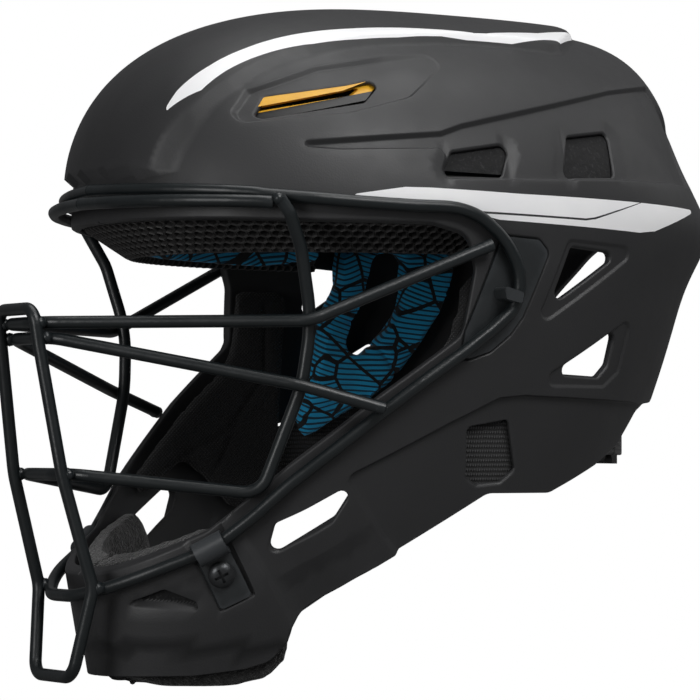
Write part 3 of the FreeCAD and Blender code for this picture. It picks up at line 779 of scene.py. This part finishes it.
def make_looks():
    """Every material of the helmet."""
    # The last colour of each moulded look is its painted edge highlight.
    moulded("shell", (0.021, 0.0212, 0.0222), 0.5, (0.05, 0.051, 0.054))
    moulded("clip", (0.019, 0.0215, 0.023), 0.42, (0.055, 0.06, 0.065))
    moulded("plate", (0.018, 0.018, 0.02), 0.4, (0.05, 0.05, 0.055))
    wire = moulded("wire", (0.007, 0.0095, 0.0105), 0.34, (0.02, 0.025, 0.028), 0.02)
    wire.bump(wire.noise(260.0, 3.0), 0.12)
    for make in (white_print, steel, gold_insert, bead_foam, honeycomb):
        make()
    for make in (blue_fabric, black_fabric, fleece, elastic):
        make()


def white_print():
    """Glossy white ink."""
    look = Look("print", 0.38)
    patches = look.span(look.noise(40.0, 4.0), 0.35, 0.7)
    look.paint(patches, (0.90, 0.90, 0.91), (0.95, 0.95, 0.95))
    look.bump(look.noise(900.0, 2.0), 0.02)


def steel():
    """Darkened steel of screws and nuts."""
    look = Look("steel", 0.36, 0.75)
    look.paint(look.noise(300.0, 4.0), (0.035, 0.037, 0.04), (0.075, 0.078, 0.08))
    look.rough(look.span(look.noise(500.0, 4.0), 0.3, 0.7, 0.28, 0.5))
    look.bump(look.noise(900.0, 3.0), 0.03)


def gold_insert():
    """The vent insert: gold above a sloped line of the side view, black below it."""
    look = Look("insert", 0.38)
    height = look.math("SUBTRACT", look.axes()[2], look.math("MULTIPLY", look.axes()[1], GOLD_SLOPE))
    share = look.math("GREATER_THAN", height, (GOLD_Z - GOLD_Y * GOLD_SLOPE) * MM)
    tint = look.blend(look.noise(90.0, 4.0), (0.62, 0.30, 0.01), (0.86, 0.47, 0.03))
    look.paint(share, (0.008, 0.008, 0.008), tint)
    look.bump(look.noise(700.0, 3.0), 0.08)


def bead_foam():
    """Hard foam of small beads."""
    look = Look("foam", 0.85)
    beads = look.cells(330.0)
    specks = look.span(look.noise(900.0, 3.0), 0.56, 0.7)
    look.paint(specks, (0.004, 0.004, 0.0045), (0.022, 0.022, 0.023))
    look.bump(beads, 0.3)
    look.bump(look.noise(1300.0, 3.0), 0.2)


def honeycomb():
    """Soft rubber whose convex edges get a painted highlight."""
    look = Look("honeycomb", 0.55)
    # A painted highlight: convex cell rims are lighter.
    edge_highlight = look.math("MULTIPLY", look.edges(), 0.9)
    look.paint(edge_highlight, (0.022, 0.021, 0.021), (0.085, 0.082, 0.08))
    look.rough(look.span(look.noise(80.0, 4.0), 0.3, 0.7, 0.45, 0.65))
    look.bump(look.noise(1100.0, 2.0), 0.05)


def blue_fabric():
    """Blue lining with a generic net of black lines and fine black hatching."""
    look = Look("liner_fabric", 0.8, sheen=0.25)
    chance = look.node("SeparateColor", {0: look.cells(NET, "F1", "Color")})
    tilt = look.span(chance[0], 0.0, 1.0, -0.45, 0.45)
    hatch = look.wave(look.along(0.35, tilt, 1.0), 0.0021)
    weight = look.span(chance[1], 0.0, 1.0, 0.50, 0.80)
    lines = look.math("GREATER_THAN", hatch, weight)
    net = look.math("LESS_THAN", look.cells(NET, "DISTANCE_TO_EDGE"), 0.045)
    dark = look.math("MAXIMUM", look.math("MULTIPLY", lines, 0.88), net)
    blue = look.blend(look.noise(30.0, 3.0), (0.010, 0.33, 0.66), (0.018, 0.50, 0.88))
    look.paint(dark, blue, (0.004, 0.006, 0.008))
    look.bump(look.math("SUBTRACT", 1.0, dark), 0.15)
    look.bump(look.noise(1600.0, 2.0), 0.12)


def black_fabric():
    """Dark knitted cloth over foam."""
    look = Look("dark_fabric", 0.85, sheen=0.1)
    courses, wales = (look.wave(look.along(0.6, 1.0, lean), 0.0016) for lean in (1.0, -1.0))
    weave = look.math("MULTIPLY", courses, wales)
    look.paint(weave, (0.003, 0.003, 0.0035), (0.010, 0.010, 0.011))
    look.bump(weave, 0.35)
    look.bump(look.noise(1500.0, 2.0), 0.1)


def fleece():
    """Fuzzy brushed cloth of the chin pad."""
    look = Look("fleece", 0.95, sheen=0.25)
    tufts = look.math("MULTIPLY", look.noise(420.0, 4.0), look.noise(1300.0, 3.0))
    look.paint(look.span(tufts, 0.15, 0.42), (0.005, 0.005, 0.005), (0.042, 0.041, 0.040))
    look.bump(tufts, 1.6)
    look.bump(look.cells(900.0), 0.4)


def elastic():
    """Woven elastic: ribs along its length with short picks across."""
    look = Look("elastic", 0.8, sheen=0.2)
    ribs = look.wave(look.axes()[2], 0.0018)
    picks = look.wave(look.axes()[1], 0.0011)
    weave = look.math("MULTIPLY", ribs, look.math("ADD", look.math("MULTIPLY", picks, 0.6), 0.4))
    look.paint(weave, (0.005, 0.005, 0.005), (0.04, 0.04, 0.042))
    look.bump(weave, 0.5)


# Soft pieces: smoothing of the remeshed pads, cloth simulation and sewn channels
RELAX_PASSES = 6
CLOTH_FRAMES = 20
CLOTH_PRESSURE = 4.0
SEAM_DEPTH = 1.1
SEAM_WIDTH = 1.3


def at_points(mesh, kind="co"):
    """The places of a mesh's points, or the directions square to it there with "normal"."""
    found = np.empty(len(mesh.vertices) * 3)
    mesh.vertices.foreach_get(kind, found)
    return found.reshape(-1, 3)


def place_points(mesh, points):
    """Moves a mesh's points."""
    mesh.vertices.foreach_set("co", np.asarray(points, np.float32).ravel())
    mesh.update()


def remeshed(node, name, voxel):
    """A new object with the node's solid as an even, smoothed mesh."""
    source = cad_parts[node]
    rough = added(name, source.data.copy())
    rough.matrix_world = source.matrix_world
    merge = rough.modifiers.new("merge", "WELD")
    merge.merge_threshold = 0.00002
    remesh = rough.modifiers.new("remesh", "REMESH")
    remesh.mode = "VOXEL"
    remesh.voxel_size = voxel * MM
    relax = rough.modifiers.new("relax", "SMOOTH")
    relax.iterations = RELAX_PASSES
    relax.factor = 0.5
    graph = bpy.context.evaluated_depsgraph_get()
    mesh = bpy.data.meshes.new_from_object(rough.evaluated_get(graph))
    mesh.transform(rough.matrix_world)
    mesh.materials.clear()
    rough.modifiers.clear()
    rough.matrix_world = Matrix.Identity(4)
    rough.data = mesh
    mesh.name = name
    mesh.polygons.foreach_set("use_smooth", [True] * len(mesh.polygons))
    return rough


def swell(piece, cap):
    """Cloth under pressure, with no gravity; no point moves further than cap."""
    scene = bpy.context.scene
    rest = at_points(piece.data)
    cloth = piece.modifiers.new("swell", "CLOTH")
    cloth.settings.quality = 3
    cloth.settings.mass = 0.3
    cloth.settings.use_pressure = True
    cloth.settings.uniform_pressure_force = CLOTH_PRESSURE
    cloth.settings.effector_weights.gravity = 0.0
    for number in range(1, CLOTH_FRAMES + 1):
        scene.frame_set(number)
    shown = piece.evaluated_get(bpy.context.evaluated_depsgraph_get())
    moved = at_points(shown.to_mesh()) - rest
    piece.modifiers.remove(cloth)
    scene.frame_set(1)
    size = np.linalg.norm(moved, axis=1)[:, None] + 1e-12
    place_points(piece.data, rest + moved * np.minimum(1.0, cap * MM / size))


def refined(piece):
    """The piece with one subdivision applied."""
    finer = piece.modifiers.new("finer", "SUBSURF")
    finer.levels = 1
    mesh = bpy.data.meshes.new_from_object(piece.evaluated_get(bpy.context.evaluated_depsgraph_get()))
    piece.modifiers.clear()
    piece.data = mesh
    mesh.polygons.foreach_set("use_smooth", [True] * len(mesh.polygons))


def sewn(piece, lines, axes):
    """Channels pressed into the piece along lines drawn over two of its axes."""
    points = at_points(piece.data) / MM
    flat = points[:, list(axes)]
    best = np.full(len(points), 1e9)
    for line in lines:
        for p, q in zip(line, line[1:]):
            best = np.minimum(best, from_line(flat, np.array(p, float), np.array(q, float)))
    sink = SEAM_DEPTH * np.exp(-(best / SEAM_WIDTH) ** 2)
    place_points(piece.data, (points - at_points(piece.data, "normal") * sink[:, None]) * MM)


def cushion(node, look, slot, voxel, inset, seams, axes=(1, 2), body="helmet", raised=0.0):
    """A pad in the place of a CAD solid: drawn in, swollen by cloth pressure, then sewn.

    seams are lines over the two given axes, and raised is how far its lower edge moves up.
    """
    piece = remeshed(node, node + "_soft", voxel)
    points = at_points(piece.data) - at_points(piece.data, "normal") * inset * MM
    if raised:
        top = points[:, 2].max()
        points[:, 2] = top - (top - points[:, 2]) * (1 - raised * MM / (top - points[:, 2].min()))
    place_points(piece.data, points)
    swell(piece, inset * 1.1)
    refined(piece)
    sewn(piece, seams, axes)
    dress(piece, look, slot, body, node)


def dress(piece, look, slot, body, *nodes):
    """Material, body and the CAD nodes that a piece stands for; slot is not used."""
    piece.data.materials.clear()
    piece.data.materials.append(LOOKS[look])
    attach(piece, body)
    if nodes:
        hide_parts(*nodes)


# Brow pad: a rubber body whose sloped foot and inner lip carry open hexagonal cells. Its
# section is given as (distance from the form, z), and lengths along it are measured on a line.
BROW_SECTION = [(-4.4, 44.0), (-4.4, 26.4), (-26.1, 12.2), (-26.1, 40.0)]
BROW_ROUND = 2.6
BROW_LINE_OFF = -15.0
BROW_LINE_Z = 16.0
BROW_END_Y = 11.0
BROW_END_ROUND = 7.0
BROW_END_DRAW = 5.0
BROW_COLUMNS = 181
BROW_ROWS = 49
CELL = 4.3
CELL_DEPTH = 2.2
CELL_WALL = 1.1
LIP_Z = 18.5


def lengths_along(points):
    """How far along a line each of its points lies."""
    return np.concatenate([[0.0], np.cumsum(np.linalg.norm(np.diff(points, axis=0), axis=1))])


def brow_line():
    """Turns round the head for even steps along the brow, and their lengths, for the left half."""
    turns = np.linspace(0.0, math.pi * 0.75, 800)
    points = on_form_turn(turns, BROW_LINE_OFF, BROW_LINE_Z)
    run = lengths_along(points)
    last = np.searchsorted(points[:, 1], BROW_END_Y)
    return turns[:last], run[:last]


def on_form_turn(turns, off, z):
    """Points of the form at given turns from the front, for one off and one z or arrays of them."""
    turns, off, z = np.broadcast_arrays(*(np.asarray(part, float) for part in (turns, off, z)))
    width, front, rear = reaches(z, 0.0)
    width, front, rear = width + off, front + off, rear + off
    s, c = np.sin(turns), np.cos(turns)
    power = 2 / SQUARENESS
    x = np.sign(s) * width * np.abs(s) ** power
    reach = np.where(c > 0, front, rear)
    y = HEART[1] - np.sign(c) * reach * np.abs(c) ** power
    return np.stack([x, y, z], axis=-1)


def section_path():
    """The brow pad's section from its outer top over the foot to the inner side, and its lengths."""
    ring = rounded(BROW_SECTION, BROW_ROUND)
    first = np.argmax(ring[:, 0] - 0.001 * np.abs(ring[:, 1] - BROW_SECTION[0][1]))
    ring = np.roll(ring, -int(first), axis=0)
    return ring, lengths_along(ring)


def brow_point(length, across, sink, line, path):
    """A point of the brow pad: length along the brow, length across its section, and how deep."""
    turns, run = line
    ring, reach = path
    turn = np.interp(np.abs(length), run, turns) * np.sign(length)
    off, z = (np.interp(across, reach, side) for side in ring.T)
    ahead, behind = across + 0.4, across - 0.4
    a, b = (np.interp(ahead, reach, side) - np.interp(behind, reach, side) for side in ring.T)
    size = np.hypot(a, b) + 1e-9
    return on_form_turn(turn, off - sink * (-b / size), z - sink * (a / size))


def make_brow_pad():
    """The brow pad's body, which lies deeper under its foot, and the cells that stand there."""
    line, path = brow_line(), section_path()
    ring, reach = path
    reach_end = line[1][-1]
    outer_foot, inner_foot = BROW_SECTION[1], BROW_SECTION[2]
    foot_start = reach[np.argmin(np.abs(ring[:, 1] - outer_foot[1]) + (ring[:, 0] < -8) * 99)]
    inner = np.where(ring[:, 0] < inner_foot[0] + 0.1)[0]
    foot_end = np.interp(LIP_Z, ring[inner, 1], reach[inner])
    columns = np.linspace(-reach_end, reach_end, BROW_COLUMNS)
    rows = np.linspace(0, reach[-1], BROW_ROWS)
    length, across = np.meshgrid(columns, rows, indexing="ij")
    under = smooth((across - foot_start - 0.5) / 2.0) * smooth((foot_end + 1.0 - across) / 2.0)
    end = np.clip((reach_end - np.abs(length)) / BROW_END_ROUND, 0.0, 1.0)
    draw = BROW_END_DRAW * (1 - np.sqrt(1 - (1 - end) ** 2))
    sink = under * CELL_DEPTH + draw
    verts = brow_point(length.ravel(), across.ravel(), sink.ravel(), line, path)
    body = build("brow_pad_body", verts, tube(BROW_COLUMNS, BROW_ROWS, 1))
    cells = make_cells(line, path, foot_start, foot_end, reach_end)
    bpy.context.view_layer.update()
    for piece in (body, cells):
        dress(piece, "honeycomb", "honeycomb", "helmet", "brow_pad")


def make_cells(line, path, first, last, reach_end):
    """Open six-sided cells over the pad's foot."""
    outer, hole = CELL / math.sqrt(3), (CELL - CELL_WALL) / math.sqrt(3)
    # Rings of corners over the cell's wall and down its hole, as (reach, depth)
    rings = [(outer, 0.35), (outer - CELL_WALL * 0.25, 0.0), (hole, 0.3), (hole * 0.94, CELL_DEPTH)]
    polygons, lengths, acrosses, sinks = [], [], [], []
    row = 0
    across = first + CELL * 0.5
    while across < last - CELL * 0.4:
        shift = CELL / 2 if row % 2 else 0.0
        count = int((reach_end - 4.0) / CELL)
        for k in range(-count, count + 1):
            middle = k * CELL + shift
            if abs(middle) > reach_end - 5.0:
                continue
            start = len(lengths)
            for reach, sink in rings:
                for corner in range(6):
                    turn = math.radians(60 * corner + 30)
                    lengths.append(middle + reach * math.cos(turn))
                    acrosses.append(across + reach * math.sin(turn))
                    sinks.append(sink)
            for first in range(start, len(lengths) - 6, 6):
                for corner in range(6):
                    a, b = first + corner, first + (corner + 1) % 6
                    polygons.append((a, a + 6, b + 6, b))
            polygons.append(tuple(range(len(lengths) - 6, len(lengths)))[::-1])
        across += CELL * ROW
        row += 1
    verts = brow_point(np.array(lengths), np.array(acrosses), np.array(sinks) - 0.05, line, path)
    piece = build("brow_pad_cells", verts, polygons)
    piece.data.polygons.foreach_set("use_smooth", [False] * len(piece.data.polygons))
    return piece


# Elastic straps, from the anchors inside the jaw to the back plate's ends
STRAP_RUN = [(-39, -76.5), (-22, -76), (-8, -75.5), (8, -73), (25, -69), (38, -65)]
STRAP_WRAP = [64, 54, 45, 36]
STRAP_WIDTH = 25.0
STRAP_THICK = 1.6
STRAP_DEPTH = 4.8
STRAP_ROUND = 0.75
STRAP_CLEAR = 0.3
STRAP_STEPS = 8
# The back plate: half width, its rearmost y, the y of its ends, and its lower and upper edge
NAPE = {"half": 41.0, "back": 100.0, "end": 79.0, "low": -66.0, "high": -34.0}


def strap_stations(side):
    """Rounded upright sections of the strap: rings of points at each station."""
    section = strap_ring()
    rings = []
    for y, low in STRAP_RUN:
        ring = []
        for share, depth in section:
            z = low + STRAP_WIDTH * share
            ring.append((side_x(y, z, -STRAP_DEPTH - STRAP_THICK * depth), y, z))
        rings.append(ring)
    sag = NAPE["back"] - NAPE["end"]
    bend = (NAPE["half"] ** 2 + sag ** 2) / (2 * sag)
    centre = NAPE["back"] - bend
    low = (NAPE["low"] + NAPE["high"] - STRAP_WIDTH) / 2
    for turn in STRAP_WRAP:
        c, s = math.cos(math.radians(turn)), math.sin(math.radians(turn))
        ring = []
        for share, depth in section:
            reach = bend + STRAP_CLEAR + STRAP_THICK * (1 - depth)
            ring.append((reach * s, centre + reach * c, low + STRAP_WIDTH * share))
        rings.append(ring)
    rings = np.array(rings)
    rings[:, :, 0] *= side
    return rings


def strap_ring():
    """The strap's section as shares of its width and thickness, with rounded edges."""
    corners = [(0, 0), (STRAP_WIDTH, 0), (STRAP_WIDTH, STRAP_THICK), (0, STRAP_THICK)]
    outline = rounded(corners, STRAP_ROUND)
    full = []
    for p, q in zip(outline, np.roll(outline, -1, axis=0)):
        steps = max(1, int(np.linalg.norm(q - p) / 1.6))
        full += [p + (q - p) * k / steps for k in range(steps)]
    return [(p[0] / STRAP_WIDTH, p[1] / STRAP_THICK) for p in full]


def through_stations(rings, steps):
    """Rings between the stations on a smooth curve through them."""
    padded = np.concatenate([[2 * rings[0] - rings[1]], rings, [2 * rings[-1] - rings[-2]]])
    out = []
    for i in range(1, len(padded) - 2):
        a, b, c, d = padded[i - 1:i + 3]
        for k in range(steps):
            t = k / steps
            square, cube = 2 * a - 5 * b + 4 * c - d, 3 * b - a - 3 * c + d
            out.append(0.5 * (2 * b + (c - a) * t + square * t * t + cube * t ** 3))
    out.append(rings[-1])
    return np.array(out)


def make_strap(name, side):
    """A strap that follows the shell in front and the back plate behind."""
    rings = through_stations(strap_stations(side), STRAP_STEPS)
    piece = build(name + "_woven", rings.reshape(-1, 3), tube(len(rings), rings.shape[1], side))
    piece.data.materials.append(LOOKS["elastic"])
    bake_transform(piece)
    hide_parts(name)


# Small weld beads where the cage's bars cross, as (x, y, z, radius) of the left one
WELDS = [
    (79, -100.3, 32.5, 2.8), (99.2, -22.5, 15.6, 2.8), (86.4, -61.2, -44.5, 2.7),
    (15.0, -166.4, -12.7, 2.8), (15.4, -163.8, -18.2, 2.8), (20.0, -157.2, -69.6, 2.8),
    (22.3, -145.4, -112.3, 2.9),
]


def make_welds():
    """All beads as one uneven mesh."""
    verts, polygons = [], []
    rng = np.random.default_rng(7)
    rows, columns = 7, 12
    for x, y, z, radius in WELDS:
        for side in (1, -1):
            start = len(verts)
            for i in range(rows + 1):
                a = math.pi * i / rows
                for j in range(columns):
                    b = 2 * math.pi * j / columns
                    lobe = 0.08 * math.sin(3 * b + x) * math.sin(a)
                    reach = radius * (1 + lobe + 0.04 * rng.standard_normal())
                    verts.append((
                        side * (x + reach * math.sin(a) * math.cos(b)),
                        y + reach * math.sin(a) * math.sin(b), z + reach * math.cos(a) * 0.9,
                    ))
            for i in range(rows):
                for j in range(columns):
                    k = (j + 1) % columns
                    quad = (start + i * columns + j, start + (i + 1) * columns + j,
                            start + (i + 1) * columns + k, start + i * columns + k)
                    polygons.append(quad if side > 0 else quad[::-1])
    piece = build("cage_welds", verts, polygons)
    dress(piece, "wire", "wire", "helmet")


def make_pads():
    """Every cushion: after its slot come the voxel size, the inset and how full it is."""
    cushion("brow_comfort_pad", "liner_fabric", "liner_fabric", 1.6, 0.7,
            [[(-140, 30), (10, 30)]], raised=4.0)
    cushion("ear_pad_left", "liner_fabric", "liner_fabric", 2.0, 1.5,
            [[(4, 20), (14, -30)], [(40, 18), (40, 40)], [(20, -34), (0, -50)], [(70, 30), (70, 0)]])
    cushion("ear_pad_right", "liner_fabric", "liner_fabric", 2.0, 1.5,
            [[(18, -4), (33, -6)], [(50, -30), (40, -14)], [(4, -46), (36, -36)]])
    cushion("crown_pad", "dark_fabric", "dark_fabric", 3.0, 1.2,
            [[(-90, 0), (90, 0)], [(-30, -80), (-30, 80)], [(30, -80), (30, 80)]], (1, 0))
    for side in ("left", "right"):
        cushion("jaw_pad_" + side, "dark_fabric", "dark_fabric", 2.0, 1.3,
                [[(-86, -74), (-36, -52), (-14, -30), (-10, 0)], [(-46, -70), (-30, -48)]])
    cushion("chin_pad", "fleece", "dark_fabric", 2.4, 1.8,
            [[(0, -170), (0, -118), (26, -76)], [(0, -118), (-26, -76)]], (0, 1))
    cushion("back_plate_pad", "dark_fabric", "dark_fabric", 2.0, 1.2,
            [[(-14, -70), (-14, -30)], [(14, -70), (14, -30)]], (0, 2), "nape")


# The CAD nodes that are shown as they are, by material
CARRIED = {
    "wire": ["cage_perimeter_bar", "cage_brim_bar", "cage_side_bar", "cage_upper_bar",
             "cage_middle_bar", "cage_nose_bar"],
    "clip": ["chin_clip_left", "chin_clip_right", "ear_plate_left", "ear_plate_right"],
    "steel": ["clip_screws", "clip_nuts"],
    "insert": ["vent_insert_left", "vent_insert_right"],
    "foam": ["front_liner", "rear_liner"],
    "plate": ["strap_anchor_left", "strap_anchor_right", "back_plate"],
}


def dress_carried():
    """Puts their materials on the CAD nodes that are shown as they are."""
    for look, names in CARRIED.items():
        for name in names:
            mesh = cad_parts[name].data
            if not mesh.materials:
                mesh.materials.append(LOOKS[look])
            for index in range(len(mesh.materials)):
                mesh.materials[index] = LOOKS[look]


# Camera: the photograph's viewing angle, seen from the wearer's left and a little in front
TURN = math.radians(32.0)
LOOK = Vector((-math.cos(TURN), math.sin(TURN), 0.0))
AIM = Vector((0.0, -0.020, -0.060))
DISTANCE = 1.4
LENS = 180.0
SENSOR = 36.0
# The horizon lies this many pixels below the middle of the photo, which is so many pixels wide
HORIZON_DROP, PHOTO_WIDTH = 99.0, 700.0
TILT = math.atan2(HORIZON_DROP, PHOTO_WIDTH * LENS / SENSOR)
# Height and half width of the floor, in metres
FLOOR_Z = -0.1535
FLOOR_HALF = 4


def make_camera():
    """The photo's camera."""
    data = bpy.data.cameras.new("camera")
    data.lens = LENS
    data.sensor_width = SENSOR
    data.clip_end = 50.0
    camera = added("camera", data)
    camera.location = AIM - LOOK * DISTANCE
    gaze = LOOK * math.cos(TILT) + Vector((0, 0, 1)) * math.sin(TILT)
    camera.rotation_euler = gaze.to_track_quat("-Z", "Y").to_euler()
    bpy.context.scene.camera = camera


def area_light(name, place, aim, size, power):
    """A rectangular light at a place in metres, turned to its aim."""
    data = bpy.data.lights.new(name, "AREA")
    data.shape = "RECTANGLE"
    data.size, data.size_y = size
    data.energy = power
    light = added(name, data)
    light.location = place
    light.rotation_euler = (Vector(aim) - Vector(place)).to_track_quat("-Z", "Y").to_euler()


def white_to_camera(tree, lit, kind, output):
    """Shows pure white of the given kind to the camera, and the lit shader to all other rays."""
    white = tree.nodes.new(kind)
    white.inputs["Color"].default_value = (1.0, 1.0, 1.0, 1.0)
    seen = tree.nodes.new("ShaderNodeLightPath")
    mix = tree.nodes.new("ShaderNodeMixShader")
    tree.links.new(seen.outputs["Is Camera Ray"], mix.inputs[0])
    tree.links.new(lit.outputs[0], mix.inputs[1])
    tree.links.new(white.outputs[0], mix.inputs[2])
    tree.links.new(mix.outputs[0], tree.nodes[output].inputs["Surface"])


def pale_floor():
    """A grey floor that shows as pure white to the camera."""
    look = Look("floor", 0.9)
    look.paint(look.noise(30.0, 3.0), (0.16, 0.16, 0.16), (0.2, 0.2, 0.2))
    tree = look.material.node_tree
    white_to_camera(tree, look.shader, "ShaderNodeEmission", "Material Output")
    return look.material


def make_studio():
    """Floor, surroundings and lights."""
    floor = bpy.data.meshes.new("floor")
    corners = [(-1, -1), (1, -1), (1, 1), (-1, 1)]
    points = [(FLOOR_HALF * x, FLOOR_HALF * y, FLOOR_Z) for x, y in corners]
    floor.from_pydata(points, [], [(0, 1, 2, 3)])
    piece = added("floor", floor)
    piece.data.materials.append(pale_floor())
    world = bpy.data.worlds.new("studio")
    bpy.context.scene.world = world
    world.use_nodes = True
    tree = world.node_tree
    back = tree.nodes["Background"]
    back.inputs["Color"].default_value = (0.8, 0.8, 0.82, 1.0)
    back.inputs["Strength"].default_value = 0.16
    white_to_camera(tree, back, "ShaderNodeBackground", "World Output")
    area_light("key", (1.25, -0.05, 1.05), (0, 0.0, 0.03), (0.9, 0.6), 14)
    area_light("top", (0.1, 0.1, 1.5), (0, 0, 0), (1.2, 1.2), 11)
    area_light("front", (0.6, -1.5, 0.1), (0, -0.05, -0.05), (0.5, 0.9), 8)
    area_light("rear", (0.2, 1.4, 0.9), (0, 0.05, 0), (0.8, 0.9), 2)


make_looks()
make_camera()
make_studio()
make_shell()
make_brow_pad()
make_pads()
make_strap("side_strap_left", 1)
make_strap("side_strap_right", -1)
make_welds()
dress_carried()
bpy.context.scene.view_settings.view_transform = "Standard"
